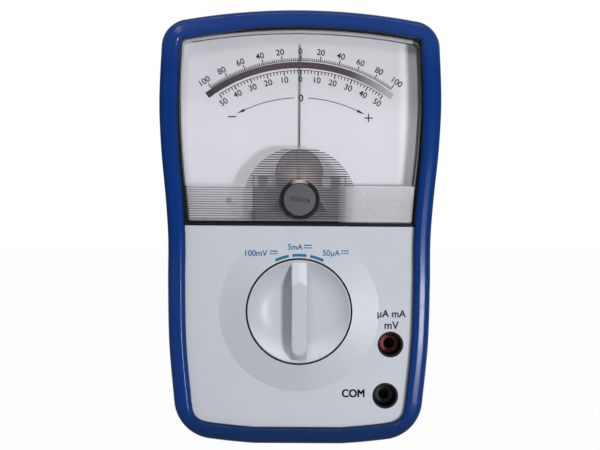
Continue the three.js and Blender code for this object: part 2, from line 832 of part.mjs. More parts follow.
// A frame in the plane of x and z, with an opening, and with its thickness along y
function loopFrame(halfOut, zOut0, zOut1, halfIn, zIn0, zIn1, halfThickness, round) {
  const box = (half, low, high, corner) => [
    ...arc(corner, -Math.PI / 2, 0, frameSteps, half - corner, low + corner),
    ...arc(corner, 0, Math.PI / 2, frameSteps, half - corner, high - corner),
    ...arc(corner, Math.PI / 2, Math.PI, frameSteps, corner - half, high - corner),
    ...arc(corner, Math.PI, (3 * Math.PI) / 2, frameSteps, corner - half, low + corner),
  ];
  const shape = new THREE.Shape(box(halfOut, zOut0, zOut1, round).map(([x, y]) => new THREE.Vector2(x, y)));
  const inner = box(halfIn, zIn0, zIn1, round / 2).map(([x, y]) => new THREE.Vector2(x, y));
  shape.holes = [new THREE.Path(inner)];
  const slab = new THREE.ExtrudeGeometry(shape, { depth: 2 * halfThickness, bevelEnabled: false });
  return solidOf(slab.translate(0, 0, -halfThickness).rotateX(Math.PI / 2));
}

function yoke() {
  const outer = columnOutline(0).map(([x, y]) => [x, y - pivotHeight]);
  const column = plate(outer, yokeBack, yokeFace);
  const earY = dialScrewY - pivotHeight;
  const earTop = dialBack - fitGap;
  const ears = block(-earReach, earReach, earY - earHalf, earY + earHalf, earTop - earThickness, earTop);
  const bore = rod(yokeBore, yokeBack - cutOverrun, yokeFace + cutOverrun, 0, 0, wheelSides);
  const slot = block(-coreTongue - fitGap, coreTongue + fitGap, -yokeBore - coreTongue, 0,
    yokeBack - cutOverrun, yokeFace - coreInset);
  const dialHoles = [-dialScrewX, dialScrewX].map((x) =>
    rod(dialScrewRadius + fitGap, earTop - earThickness - cutOverrun, earTop + cutOverrun, x, earY));
  const screwHoles = [-movementScrewX, movementScrewX].map((x) =>
    rod(movementScrewRadius + fitGap, yokeBack - cutOverrun, yokeFace + cutOverrun,
      x, movementScrewY - pivotHeight));
  const body = cut(union(column, ears), bore, slot, ...dialHoles, ...screwHoles);
  return piece("movement_yoke", body, "black_plastic");
}

function core() {
  const body = rod(coreRadius, yokeBack + coreInset, yokeFace - coreInset, 0, 0, fineSides);
  return piece("core_magnet", body, "magnet");
}

function coreBridge() {
  const bar = block(-coreTongue, coreTongue, -yokeBore - coreTongue + fitGap, -coreRadius + coreTongue / 2,
    yokeBack + coreInset, yokeFace - coreInset - fitGap);
  const clear = rod(coreRadius + fitGap, yokeBack, yokeFace, 0, 0, fineSides);
  return piece("core_bridge", cut(bar, clear), "brass");
}

function movementScrews() {
  return [-movementScrewX, movementScrewX].map((x, i) => {
    const seat = yokeBack;
    const reach = panelBack - cutOverrun - fitGap - seat;
    const body = slottedScrew(seat, reach, movementScrewRadius, 2 * movementScrewRadius, movementScrewRadius);
    return piece(`movement_screw_${i + 1}`, body, "steel", x, movementScrewY - pivotHeight);
  });
}

function coilFormer() {
  const coreFront = yokeFace - coreInset;
  const coreRear = yokeBack + coreInset;
  const halfOut = coilHalf - windingWidth - fitGap;
  const inner0 = coreRear - formerWall;
  const inner1 = coreFront + formerWall;
  const frame = loopFrame(
    halfOut, inner0 - formerWall, inner1 + formerWall,
    halfOut - formerWall, inner0, inner1, coilThickness, coilRound,
  );
  const front = rod(pivotPin, inner1, jewelLow + jewelBore, 0, 0);
  const rear = rod(pivotPin, yokeBack - rearPostHeight, inner0, 0, 0);
  const collet = rod(colletRadius, springMiddle - colletHeight / 2, springMiddle + colletHeight / 2);
  const rearSpring = yokeBack - rearPostHeight / 2;
  const rearCollet = rod(colletRadius, rearSpring - colletHeight / 2, rearSpring + colletHeight / 2);
  return piece("coil_former", union(frame, front, rear, collet, rearCollet), "aluminium");
}

function coilWinding() {
  const front = yokeFace - coreInset + 2 * formerWall + fitGap;
  const rear = yokeBack + coreInset - 2 * formerWall - fitGap;
  const winding = loopFrame(
    coilHalf, rear - windingWidth, front + windingWidth,
    coilHalf - windingWidth, rear, front, coilThickness, coilRound,
  );
  const pinHole = rod(pivotPin + fitGap, rear - 2 * windingWidth, front + 2 * windingWidth);
  return piece("coil_winding", cut(winding, pinHole), "copper");
}

// The pointer: a thin blade, with a tail and two side arms that carry round balance weights
function pointer() {
  const top = pointerLow + pointerThickness;
  const blade = plate([
    [-needleRootHalf, 0],
    [needleRootHalf, 0],
    [needleTipHalf, needleReach - needleTipHalf],
    [0, needleReach],
    [-needleTipHalf, needleReach - needleTipHalf],
  ], pointerLow, top);
  const arms = block(-armReach, armReach, -needleRootHalf, needleRootHalf, pointerLow, top);
  const tail = block(-needleRootHalf, needleRootHalf, -tailReach, 0, pointerLow, top);
  const hub = rod(hubRadius, pointerLow, top);
  const weights = [
    rod(weightRadius, pointerLow, pointerLow + weightHeight, 0, -tailReach),
    rod(weightRadius / 2, pointerLow, pointerLow + armWeightHeight, -armReach, 0),
    rod(weightRadius / 2, pointerLow, pointerLow + armWeightHeight, armReach, 0),
  ];
  const bore = rod(pivotPin + fitGap, pointerLow - cutOverrun, top + cutOverrun);
  return piece("pointer", cut(union(hub, blade, arms, tail, ...weights), bore), "needle_black");
}

class HairspringPath extends THREE.Curve {
  getPoint(t, target = new THREE.Vector3()) {
    const angle = 2 * Math.PI * springLoops * t;
    const radius = springInner + (springOuter - springInner) * t;
    return target.set(radius * Math.cos(angle), radius * Math.sin(angle), 0);
  }
}

// A flat spiral strip of six sides. Its least gap to itself is the step from loop to loop, less the strip
function hairspring(name, middle) {
  const half = springHeight / 2;
  const section = new THREE.Shape([
    new THREE.Vector2(-half, -springStripHalf),
    new THREE.Vector2(0, -springStripHalf * springBulge),
    new THREE.Vector2(half, -springStripHalf),
    new THREE.Vector2(half, springStripHalf),
    new THREE.Vector2(0, springStripHalf * springBulge),
    new THREE.Vector2(-half, springStripHalf),
  ]);
  const steps = loopSteps * springLoops;
  const path = new HairspringPath();
  const strip = new THREE.ExtrudeGeometry(section, { steps, extrudePath: path, bevelEnabled: false });
  return piece(name, solidOf(strip.translate(0, 0, middle)), "brass");
}

// The least distance between points of the spiral that are half a loop or more apart, less the strip
function hairspringGap() {
  const path = new HairspringPath();
  const count = loopSteps * springLoops;
  const points = path.getSpacedPoints(count);
  let least = Infinity;
  points.forEach((a, i) => points.slice(i + 1).forEach((b, k) => {
    const apart = path.getUtoTmapping((i + k + 1) / count) - path.getUtoTmapping(i / count);
    if (apart * springLoops >= 1 / 2) {
      least = Math.min(least, a.distanceTo(b));
    }
  }));
  return least - 2 * springStripHalf * springBulge;
}

function bridge(name, low, high, postLow, postHigh) {
  const bar = block(-bridgePostX - bridgePostRadius, bridgePostX + bridgePostRadius,
    -bridgeHalf, bridgeHalf, low, high);
  const posts = [-bridgePostX, bridgePostX].map((x) => rod(bridgePostRadius, postLow, postHigh, x, 0));
  const hole = rod(jewelRadius + fitGap, low - cutOverrun, high + cutOverrun, 0, 0);
  return piece(name, cut(union(bar, ...posts), hole), "brass");
}

function jewelScrew(name, inner, outer) {
  const low = Math.min(inner, outer);
  const high = Math.max(inner, outer);
  const inward = inner < outer ? 1 : -1;
  const boreEnd = inner + inward * (jewelBore + fitGap);
  const bore = rod(pivotPin + fitGap, Math.min(inner - inward * cutOverrun, boreEnd),
    Math.max(inner - inward * cutOverrun, boreEnd));
  const slotEnd = outer - inward * slotDepth;
  const slot = block(-jewelRadius - cutOverrun, jewelRadius + cutOverrun, -slotWidth / 2, slotWidth / 2,
    Math.min(slotEnd, outer + inward * cutOverrun), Math.max(slotEnd, outer + inward * cutOverrun));
  return piece(name, cut(rod(jewelRadius, low, high), bore, slot), "brass");
}

// The zero lever: a ring round the jewel screw, a forked arm up to the adjuster's pin and a spring post
function zeroLever() {
  const high = leverLow + leverThickness;
  const pinRadius = adjusterHeight + eccentricRadius - pivotHeight;
  const armHalf = eccentricPin + fitGap;
  const headHalf = armHalf + 2 * leverThickness;
  const slotFoot = pinRadius - eccentricRadius - eccentricPin;
  const headTop = pinRadius + 2 * eccentricPin + fitGap;
  const ring = rod(leverRing, leverLow, high, 0, 0, fineSides);
  const arm = block(-armHalf, armHalf, 0, slotFoot, leverLow, high);
  const head = block(-headHalf, headHalf, slotFoot - 2 * leverThickness, headTop, leverLow, high);
  const slot = block(-armHalf, armHalf, slotFoot, headTop + cutOverrun,
    leverLow - cutOverrun, high + cutOverrun);
  const postX = springOuter + springStripHalf + fitGap + leverThickness;
  const side = block(0, postX + leverThickness, -leverThickness, leverThickness, leverLow, high);
  const postLow = springMiddle - springHeight / 2;
  const post = block(postX - leverThickness, postX + leverThickness, -leverThickness, leverThickness,
    postLow, high);
  const bore = rod(jewelRadius + fitGap, leverLow - cutOverrun, high + cutOverrun, 0, 0, fineSides);
  return piece("zero_lever", cut(union(ring, arm, cut(head, slot), side, post), bore), "brass");
}

function movement() {
  const group = new THREE.Group();
  group.position.y = pivotHeight;
  const rearLow = yokeBack - rearPostHeight;
  group.add(
    yoke(),
    core(),
    coreBridge(),
    ...movementScrews(),
    coilFormer(),
    coilWinding(),
    pointer(),
    hairspring("front_hairspring", springMiddle),
    hairspring("rear_hairspring", yokeBack - rearPostHeight / 2),
    bridge("front_bridge", bridgeLow, bridgeLow + bridgeThickness, yokeFace, bridgeLow + bridgeThickness),
    bridge("rear_bridge", rearLow - bridgeThickness, rearLow, rearLow - bridgeThickness, yokeBack),
    jewelScrew("front_jewel_screw", jewelLow, movementFront),
    jewelScrew("rear_jewel_screw", rearLow + jewelBore, rearLow - bridgeThickness - jewelProud),
    zeroLever(),
  );
  return group;
}

// The range switch: a dished knob with a wing grip, its rotor, its wipers and the spring that holds it

const knobRim = 2.5;
const dishDepth = 3.4;
const rimWidth = 0.7;
const knobEdge = 0.3;
const gripHalf = 2.9;
const gripTopHalf = 2.6;
const gripFoot = 14.9;
const gripShoulder = 8.7;
const gripApex = 10.4;
const knobFoot = wellFloor + fitGap;
const rotorClear = 1.7;
const rotorLow = boardFace + rotorClear;
const rotorHeight = 2;
const notchRadius = 1.6;
const notchDepth = 0.8;
const rangeStep = 18 * (Math.PI / 180);
const wiperRadius = 8.4;
const wiperHalf = 0.9;
const wiperThickness = 0.4;
const detentHalf = 7;
const detentThickness = 0.6;
const detentPost = 1.6;
// Radius and height of the dish, from its middle to its rim
const dishShares = [[0, 0], [0.46, 0.03], [0.66, 0.16], [0.82, 0.42], [0.93, 0.75], [1, 1]];

function rangeKnob() {
  const rim = panelFace + knobRim;
  const inner = knobRadius - rimWidth;
  const dish = dishShares.map(([out, up]) => [inner * out, rim - dishDepth * (1 - up)]);
  const bowl = turned([
    [0, knobFoot],
    [knobRadius, knobFoot],
    [knobRadius, rim - knobEdge],
    [knobRadius - knobEdge, rim],
    ...dish.reverse(),
  ], wheelSides);
  const end = inner + rimWidth / 2;
  const corner = Math.sqrt(end ** 2 - gripHalf ** 2);
  const foot = (half, reach) => arc(half, Math.PI, 2 * Math.PI, smallSides / 2, 0, 0)
    .map(([x, y]) => [x, y * (reach / half)]);
  // The grip's outline at one height: a round foot, two sides, and a head with a point
  const outlineAt = (half, footFrom, footReach, shoulder, apex, z) => [
    ...foot(half, footReach).map(([x, y]) => [x, y - footFrom, z]),
    [half, shoulder, z],
    [0, apex, z],
    [-half, shoulder, z],
  ];
  const grip = skin([
    outlineAt(gripHalf, corner - edgeRound, edgeRound, corner, end, rim - dishDepth - knobEdge),
    outlineAt(gripHalf, corner - edgeRound, edgeRound, corner, end, rim),
    outlineAt(gripTopHalf, gripFoot - gripTopHalf / 2, gripTopHalf / 2,
      gripShoulder, gripApex, overallDepth),
  ]);
  const shaft = rod(shaftRadius, boardFace + boardGap, knobFoot + edgeRound, 0, 0, fineSides);
  return piece("range_knob", union(bowl, grip, shaft), "panel_plastic", 0, knobHeight);
}

function switchRotor() {
  const disc = rod(rotorRadius, rotorLow, rotorLow + rotorHeight, 0, 0, wheelSides);
  const notches = [-1, 0, 1].map((step) => {
    const angle = rangeStep * step;
    const out = rotorRadius + notchRadius - notchDepth;
    return rod(notchRadius, rotorLow - cutOverrun, rotorLow + rotorHeight + cutOverrun,
      out * Math.cos(angle), out * Math.sin(angle));
  });
  const bore = rod(shaftRadius + fitGap, rotorLow - cutOverrun, rotorLow + rotorHeight + cutOverrun,
    0, 0, fineSides);
  return piece("switch_rotor", cut(disc, bore, ...notches), "black_plastic", 0, knobHeight);
}

// Two bowed feet on one strip under the rotor, which wipe over the board
function wiper() {
  const high = rotorLow;
  const strip = block(-wiperRadius, wiperRadius, -wiperHalf, wiperHalf, high - wiperThickness, high);
  const eye = rod(shaftRadius + fitGap + wiperHalf * 2, high - wiperThickness, high, 0, 0, fineSides);
  const feet = [-wiperRadius, wiperRadius].map((x) => {
    const foot = arc(wiperHalf, Math.PI, 2 * Math.PI, smallSides / 2, x, 0);
    const shape = new THREE.Shape(foot.map(([a, b]) => new THREE.Vector2(a, b)));
    const slab = new THREE.ExtrudeGeometry(shape, { depth: 2 * wiperHalf, bevelEnabled: false });
    return solidOf(slab.translate(0, 0, -wiperHalf).rotateX(Math.PI / 2)
      .translate(0, 0, high - wiperThickness + wiperThickness / 4));
  });
  const bore = rod(shaftRadius + fitGap, high - 2 * wiperHalf, high + cutOverrun, 0, 0, fineSides);
  return piece("switch_wiper", cut(union(strip, eye, ...feet), bore), "copper", 0, knobHeight);
}

// A flat spring on edge beside the rotor, on two posts, with a nose that faces the notches
function detentSpring() {
  const noseRadius = notchRadius - fitGap;
  const noseX = rotorRadius + noseRadius + fitGap;
  const stripX = noseX + noseRadius - detentThickness / 2;
  const high = rotorLow + rotorHeight;
  const strip = block(stripX, stripX + detentThickness, -detentHalf, detentHalf, rotorLow, high);
  const nose = rod(noseRadius, rotorLow, high, noseX, 0);
  const ends = [-detentHalf, detentHalf].map((y) =>
    rod(detentPost, boardFace, high, stripX + detentPost, y));
  return piece("detent_spring", union(strip, nose, ...ends), "steel", 0, knobHeight);
}

// The board behind the panel, with the fuse and resistors on its back

const fuseRadius = 2.6;
const fuseLength = 20;
const fuseCapLength = 5;
const fuseX = -11;
const fuseShare = 0.448;
const fuseY = boardTop * fuseShare;
const clipHalf = 3.4;
const clipWidth = 4;
const clipWall = 0.4;
const fuseAxis = boardBack - clipWall - fitGap - fuseRadius;
const resistorLength = 9;
const resistorRadius = 1.7;
const resistorWire = 0.35;
const resistorPitch = 13;
const resistorX = 12;
const resistorStep = 7;
const resistorCount = 3;
const resistorPlaces = Array.from({ length: resistorCount }, (_, i) =>
  boardTop - resistorStep * (resistorCount + 1 / 2 - i));

function board() {
  const inset = cavityInset + boardGap;
  const slab = plate(outline(inset), boardBack, boardFace);
  const above = block(-widestHalf, widestHalf, boardTop, overallHeight,
    boardBack - cutOverrun, boardFace + cutOverrun);
  const through = (radius, x, y) =>
    rod(radius, boardBack - cutOverrun, boardFace + cutOverrun, x, y);
  const holes = [
    through(pillarRadius + fitGap, ...pillarPlaces[0]),
    through(pillarRadius + fitGap, ...pillarPlaces[1]),
    ...Object.values(socketPlaces).map(([x, y]) => through(plugRadius + contactWall + fitGap, x, y)),
    ...resistorPlaces.flatMap((y) => [-1, 1].map((side) =>
      through(resistorWire + fitGap, resistorX + (side * resistorPitch) / 2, y))),
  ];
  return piece("circuit_board", cut(slab, above, ...holes), "board_green");
}

// A socket's black liner, flush with the panel, which stands on the board
function socketLiner(name, x, y) {
  const body = sleeve(socketRadius, socketRadius - socketWall, boardFace, panelFace, 0, 0, fineSides);
  return piece(name, body, "black_plastic", x, y);
}

// A socket's plastic tube, which stands on a flange at the bottom of its liner
function socketInsulator(name, finish, x, y) {
  const flange = socketRadius - socketWall - fitGap;
  const low = boardFace;
  const inner = plugRadius + contactWall + fitGap / 2;
  const body = turned([
    [inner, low],
    [flange, low],
    [flange, low + shroudWall],
    [socketTube, low + shroudWall],
    [socketTube, panelFace - socketDrop],
    [inner, panelFace - socketDrop],
    [inner, low],
  ], fineSides);
  return piece(name, body, finish, x, y);
}

function socketContact(name, x, y) {
  const low = boardBack - shroudWall;
  const high = panelFace - socketDrop - edgeRound;
  return piece(name, sleeve(plugRadius + contactWall, plugRadius, low, high, 0, 0, fineSides), "brass", x, y);
}

function fuse() {
  const glass = fuseRadius - clipWall;
  const body = turned([
    [0, 0],
    [fuseRadius, 0],
    [fuseRadius, fuseCapLength],
    [glass, fuseCapLength],
    [glass, fuseLength - fuseCapLength],
    [fuseRadius, fuseLength - fuseCapLength],
    [fuseRadius, fuseLength],
    [0, fuseLength],
  ], smallSides);
  const mesh = piece("fuse", body, "glass", fuseX - fuseLength / 2, fuseY, fuseAxis);
  mesh.rotation.y = Math.PI / 2;
  return mesh;
}

// A clip: a base on the board and two springy cheeks that hold one end of the fuse
function fuseClip(name, x) {
  const base = block(-clipWidth / 2, clipWidth / 2, -clipHalf, clipHalf,
    fuseAxis - fuseRadius / 2, boardBack);
  const room = block(-clipWidth, clipWidth, clipWall - clipHalf, clipHalf - clipWall,
    fuseAxis - fuseRadius, boardBack - clipWall);
  const lips = [-1, 1].map((side) => block(-clipWidth / 2, clipWidth / 2,
    side > 0 ? fuseRadius + fitGap : -clipHalf,
    side > 0 ? clipHalf : -fuseRadius - fitGap,
    fuseAxis - fuseRadius / 2, fuseAxis));
  return piece(name, union(cut(base, room), ...lips), "steel", x, fuseY);
}

function resistor(name, y) {
  const axis = boardBack - fitGap - resistorRadius;
  const bodyEnd = resistorLength / 2;
  const body = crossRod(resistorRadius, -bodyEnd, bodyEnd, 0, axis);
  const half = resistorPitch / 2;
  const wire = crossRod(resistorWire, -half, half, 0, axis);
  const legs = [-half, half].map((x) => rod(resistorWire, axis, boardFace + resistorWire, x, 0));
  return piece(name, union(body, wire, ...legs), "resistor_body", resistorX, y);
}

const clipShift = fuseLength / 2 - fuseCapLength / 2;
const face = new THREE.Group();
face.add(
  holster(),
  tiltStand(),
  rearCase(),
  ...caseScrews(),
  frontCase(),
  windowFrame(),
  windowCover(),
  adjusterBush(),
  zeroAdjuster(),
  dialPlate(),
  mirrorStrip(),
  ...dialScrews(),
  movement(),
  rangeKnob(),
  switchRotor(),
  wiper(),
  detentSpring(),
  board(),
  socketLiner("plus_socket_liner", ...socketPlaces.plus),
  socketInsulator("plus_socket_insulator", "red_plastic", ...socketPlaces.plus),
  socketContact("plus_socket_contact", ...socketPlaces.plus),
  socketLiner("com_socket_liner", ...socketPlaces.com),
  socketInsulator("com_socket_insulator", "black_plastic", ...socketPlaces.com),
  socketContact("com_socket_contact", ...socketPlaces.com),
  fuse(),
  fuseClip("fuse_clip_1", fuseX - clipShift),
  fuseClip("fuse_clip_2", fuseX + clipShift),
  ...resistorPlaces.map((y, i) => resistor(`resistor_${i + 1}`, y)),
);
face.rotation.x = Math.PI / 2;
face.position.y = overallDepth / 2;

console.log(`least gap in a hairspring: ${hairspringGap().toFixed(3)} mm`);

const galvanometer = new THREE.Group();
galvanometer.name = "zero_centre_galvanometer";
galvanometer.add(face);

export default galvanometer;
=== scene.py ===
import math

import bmesh
import bpy
import numpy as np
from mathutils import Matrix, Vector


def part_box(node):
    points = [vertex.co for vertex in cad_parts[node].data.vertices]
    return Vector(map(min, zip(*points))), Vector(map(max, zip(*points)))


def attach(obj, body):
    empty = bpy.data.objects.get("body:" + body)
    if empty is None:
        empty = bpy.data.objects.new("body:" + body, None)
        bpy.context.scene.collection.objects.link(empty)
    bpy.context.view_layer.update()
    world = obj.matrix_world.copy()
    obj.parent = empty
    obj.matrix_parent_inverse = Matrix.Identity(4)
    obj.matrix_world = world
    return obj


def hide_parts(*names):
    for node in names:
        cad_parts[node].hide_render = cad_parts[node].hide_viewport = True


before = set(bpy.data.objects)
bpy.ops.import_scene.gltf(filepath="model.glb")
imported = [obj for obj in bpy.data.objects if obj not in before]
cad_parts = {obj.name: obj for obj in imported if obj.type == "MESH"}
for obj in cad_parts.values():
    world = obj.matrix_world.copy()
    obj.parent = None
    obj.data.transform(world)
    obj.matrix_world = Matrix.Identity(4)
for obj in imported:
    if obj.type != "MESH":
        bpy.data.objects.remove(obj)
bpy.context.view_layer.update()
mm = 0.001

# The case: two shells of light grey ABS, injection moulded with a satin, spark-eroded skin.
# They meet at a parting line through the depth, and four slotted steel screws from the back join them.


def srgb(red, green, blue):
    """Linear colour of one written as 0 to 255, by the standard curve: its share over 12.92 where it is dark,
    and a power of 2.4 elsewhere."""
    value = np.array([red, green, blue]) / 255
    curve = np.where(value <= 0.04045, value / 12.92, ((value + 0.055) / 1.055) ** 2.4)
    return (*curve.tolist(), 1.0)


def skin_group():
    """The skin of a moulding or casting: a noise bump in its normal, and a slow noise as a drift of tone."""
    group = bpy.data.node_groups.new("skin_grain", "ShaderNodeTree")
    for label in ("Grain", "Height", "Drift"):
        group.interface.new_socket(label, in_out="INPUT", socket_type="NodeSocketFloat")
    group.interface.new_socket("Tone", in_out="OUTPUT", socket_type="NodeSocketFloat")
    group.interface.new_socket("Normal", in_out="OUTPUT", socket_type="NodeSocketVector")
    node, link = group.nodes.new, group.links.new
    given, result = node("NodeGroupInput"), node("NodeGroupOutput")
    place, bump = node("ShaderNodeTexCoord"), node("ShaderNodeBump")
    fine, slow = node("ShaderNodeTexNoise"), node("ShaderNodeTexNoise")
    fine.inputs["Detail"].default_value = 3
    slow.inputs["Detail"].default_value = 5
    link(place.outputs["Object"], fine.inputs["Vector"])
    link(place.outputs["Object"], slow.inputs["Vector"])
    link(given.outputs["Grain"], fine.inputs["Scale"])
    link(given.outputs["Drift"], slow.inputs["Scale"])
    link(fine.outputs["Fac"], bump.inputs["Height"])
    link(given.outputs["Height"], bump.inputs["Distance"])
    link(slow.outputs["Fac"], result.inputs["Tone"])
    link(bump.outputs["Normal"], result.inputs["Normal"])
    return group


def scuff_group():
    """Fine scuffs from handling: a stretched noise cut to its highest crests, which leaves thin streaks."""
    group = bpy.data.node_groups.new("scuffs", "ShaderNodeTree")
    for label in ("Scale", "Rarity"):
        group.interface.new_socket(label, in_out="INPUT", socket_type="NodeSocketFloat")
    group.interface.new_socket("Mask", in_out="OUTPUT", socket_type="NodeSocketFloat")
    node, link = group.nodes.new, group.links.new
    given, result = node("NodeGroupInput"), node("NodeGroupOutput")
    place, turn = node("ShaderNodeTexCoord"), node("ShaderNodeMapping")
    noise, crest = node("ShaderNodeTexNoise"), node("ShaderNodeMapRange")
    turn.inputs["Rotation"].default_value = (0, 0.6, 0.3)
    turn.inputs["Scale"].default_value = (0.12, 1, 1)
    noise.inputs["Detail"].default_value = 6
    crest.inputs["From Max"].default_value = 0.9
    link(place.outputs["Object"], turn.inputs["Vector"])
    link(turn.outputs["Vector"], noise.inputs["Vector"])
    link(given.outputs["Scale"], noise.inputs["Scale"])
    link(given.outputs["Rarity"], crest.inputs["From Min"])
    link(noise.outputs["Fac"], crest.inputs["Value"])
    link(crest.outputs["Result"], result.inputs["Mask"])
    return group


skin = skin_group()
scuffs = scuff_group()


def shader_of(made):
    """The one Principled shader of a finish."""
    return made.node_tree.nodes["Principled BSDF"]


def moulded(name, low, high, roughness, metallic=0.0, specular=0.5, grain=2500.0, height=0.02 * mm,
            drift=60.0, worn=0.12):
    """A finish whose colour drifts between two tones, written as 0 to 255, with a fine grain and with faint
    scuffs in its roughness."""
    made = bpy.data.materials.new(name)
    made.use_nodes = True
    shader = shader_of(made)
    shader.inputs["Metallic"].default_value = metallic
    shader.inputs["Specular IOR Level"].default_value = specular
    node, link = made.node_tree.nodes.new, made.node_tree.links.new
    texture, marks = node("ShaderNodeGroup"), node("ShaderNodeGroup")
    texture.node_tree, marks.node_tree = skin, scuffs
    texture.inputs["Grain"].default_value = grain
    texture.inputs["Height"].default_value = height
    texture.inputs["Drift"].default_value = drift
    marks.inputs["Scale"].default_value = 180
    marks.inputs["Rarity"].default_value = 0.58
    tone, rough = node("ShaderNodeMix"), node("ShaderNodeMapRange")
    tone.data_type = "RGBA"
    tone.inputs["A"].default_value = srgb(*low)
    tone.inputs["B"].default_value = srgb(*high)
    rough.inputs["To Min"].default_value = roughness
    rough.inputs["To Max"].default_value = roughness + worn
    link(texture.outputs["Tone"], tone.inputs["Factor"])
    link(tone.outputs["Result"], shader.inputs["Base Color"])
    link(marks.outputs["Mask"], rough.inputs["Value"])
    link(rough.outputs["Result"], shader.inputs["Roughness"])
    link(texture.outputs["Normal"], shader.inputs["Normal"])
    return made


def metal(name, low, high, roughness, metallic=1.0, grain=5000.0, drift=60.0):
    """A bare metal's finish, whose skin is finer than a moulding's."""
    return moulded(name, low, high, roughness, metallic, grain=grain, height=0.004 * mm, drift=drift)


def dress(made, *names):
    """Gives a finish to carried CAD nodes, in every material slot that they have."""
    for name in names:
        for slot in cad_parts[name].material_slots:
            slot.material = made


class Measure:
    """A number that changes over a surface. A sum or a comparison with it is a Math node of its material: a
    comparison gives one where it holds and zero elsewhere, and a bar between two takes the larger."""

    def __init__(self, tree, socket):
        self.tree, self.socket = tree, socket

    def feed(self, taker):
        """Links the number to a node's input."""
        self.tree.links.new(self.socket, taker)

    def worked(self, kind, *values):
        """One Math node on such numbers or plain ones."""
        step = self.tree.nodes.new("ShaderNodeMath")
        step.operation = kind
        for value, taker in zip(values, step.inputs):
            if isinstance(value, Measure):
                value.feed(taker)
            else:
                taker.default_value = value
        return Measure(self.tree, step.outputs[0])

    def __add__(self, other):
        return self.worked("ADD", self, other)

    def __sub__(self, other):
        return self.worked("SUBTRACT", self, other)

    def __rsub__(self, other):
        return self.worked("SUBTRACT", other, self)

    def __mul__(self, other):
        return self.worked("MULTIPLY", self, other)

    def __pow__(self, other):
        return self.worked("POWER", self, other)

    def __or__(self, other):
        return self.worked("MAXIMUM", self, other)

    def __lt__(self, other):
        return self.worked("LESS_THAN", self, other)

    def __gt__(self, other):
        return self.worked("GREATER_THAN", self, other)

    def __abs__(self):
        return self.worked("ABSOLUTE", self)


def axes_of(made, source="Object"):
    """X, Y and Z of a place on the piece, or of the way that its surface looks where the source is Normal."""
    tree = made.node_tree
    place, axes = tree.nodes.new("ShaderNodeTexCoord"), tree.nodes.new("ShaderNodeSeparateXYZ")
    tree.links.new(place.outputs[source], axes.inputs["Vector"])
    return [Measure(tree, axis) for axis in axes.outputs]


def radius_of(x, up):
    """Distance from an axis that runs front to back: the root of two squares added."""
    return (x * x + up * up) ** 0.5


def plated(made, factor, colour):
    """Lays a colour, written as 0 to 255, over a finish's base colour by a factor."""
    base, over = shader_of(made).inputs["Base Color"], made.node_tree.nodes.new("ShaderNodeMix")
    over.data_type = "RGBA"
    over.inputs["B"].default_value = srgb(*colour)
    factor.feed(over.inputs["Factor"])
    made.node_tree.links.new(base.links[0].from_socket, over.inputs["A"])
    made.node_tree.links.new(over.outputs["Result"], base)


def paint_gap_shade(made, centre, inner, outer, depth, share=1.0):
    """Darkens a moulding with painted shade in a narrow gap or slot: by a share, between two distances from
    an axis through x = 0 at a height, and further back than a depth."""
    x, y, z = axes_of(made)
    out = radius_of(x, z - centre)
    plated(made, (out > inner) * (out < outer) * (y > depth) * share, (8, 8, 12))


panel_low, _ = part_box("front_case")
knob_low, knob_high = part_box("range_knob")
knob_centre = (knob_low.z + knob_high.z) / 2
knob_gap = (17.9 * mm, 18.9 * mm)
panel_plastic = moulded("panel_plastic", (180, 184, 193), (192, 196, 204), 0.42, grain=3200.0,
                        height=0.006 * mm, drift=25.0)
# Painted shade: a dark ring in the gap round the knob.
paint_gap_shade(panel_plastic, knob_centre, *knob_gap, panel_low.y + 0.2 * mm)
dress(panel_plastic, "front_case", "rear_case")
screw_steel = metal("screw_steel", (140, 142, 146), (168, 170, 174), 0.3, grain=6000.0, drift=900.0)
dress(screw_steel, "case_screw_1", "case_screw_2", "case_screw_3", "case_screw_4")

# The circuit board: green solder resist over copper tracks on glass fibre, held between the two shells.
# A glass fuse sits in two spring clips on its back, beside three wire-ended resistors.


def patterned(made, kind, settings, turn=(0, 0, 0)):
    """A texture on the piece's own place, turned first, with its inputs set by name."""
    tree = made.node_tree
    place, turned, texture = (tree.nodes.new(label) for label in (
        "ShaderNodeTexCoord", "ShaderNodeMapping", kind))
    turned.inputs["Rotation"].default_value = turn
    for label, value in settings.items():
        texture.inputs[label].default_value = value
    tree.links.new(place.outputs["Object"], turned.inputs["Vector"])
    tree.links.new(turned.outputs["Vector"], texture.inputs["Vector"])
    return Measure(tree, texture.outputs["Fac"])


board_green = moulded("board_green", (30, 78, 48), (44, 98, 62), 0.35, drift=400.0)
tracks = patterned(board_green, "ShaderNodeTexBrick", {"Scale": 260, "Mortar Size": 0.12},
                   (math.pi / 2, 0, 0))
plated(board_green, 1 - tracks, (58, 112, 66))
dress(board_green, "circuit_board")
fuse_glass = moulded("fuse_glass", (200, 210, 206), (216, 224, 220), 0.08, worn=0.02)
shader_of(fuse_glass).inputs["Transmission Weight"].default_value = 0.7
dress(fuse_glass, "fuse")
dress(moulded("resistor_paint", (176, 148, 102), (198, 172, 126), 0.45, grain=5000.0),
      "resistor_1", "resistor_2", "resistor_3")
dress(metal("spring_steel", (150, 152, 156), (178, 180, 184), 0.28, drift=500.0),
      "fuse_clip_1", "fuse_clip_2", "detent_spring")

# The range switch under the panel: a notched disc of black nylon, with a wiper of sprung phosphor bronze
# that sweeps over the board. The knob's shaft turns both.
dress(moulded("black_nylon", (26, 26, 29), (36, 36, 40), 0.42, grain=2800.0), "switch_rotor")
bronze = metal("phosphor_bronze", (178, 112, 66), (198, 132, 84), 0.3, drift=700.0)
dress(bronze, "switch_wiper")

# The two 4 mm sockets: each is a black liner flush with the panel, with a tube inside it, red for the
# measuring input and black for the common one, round a nickel-plated brass contact.
sheath_end = -6.9 * mm


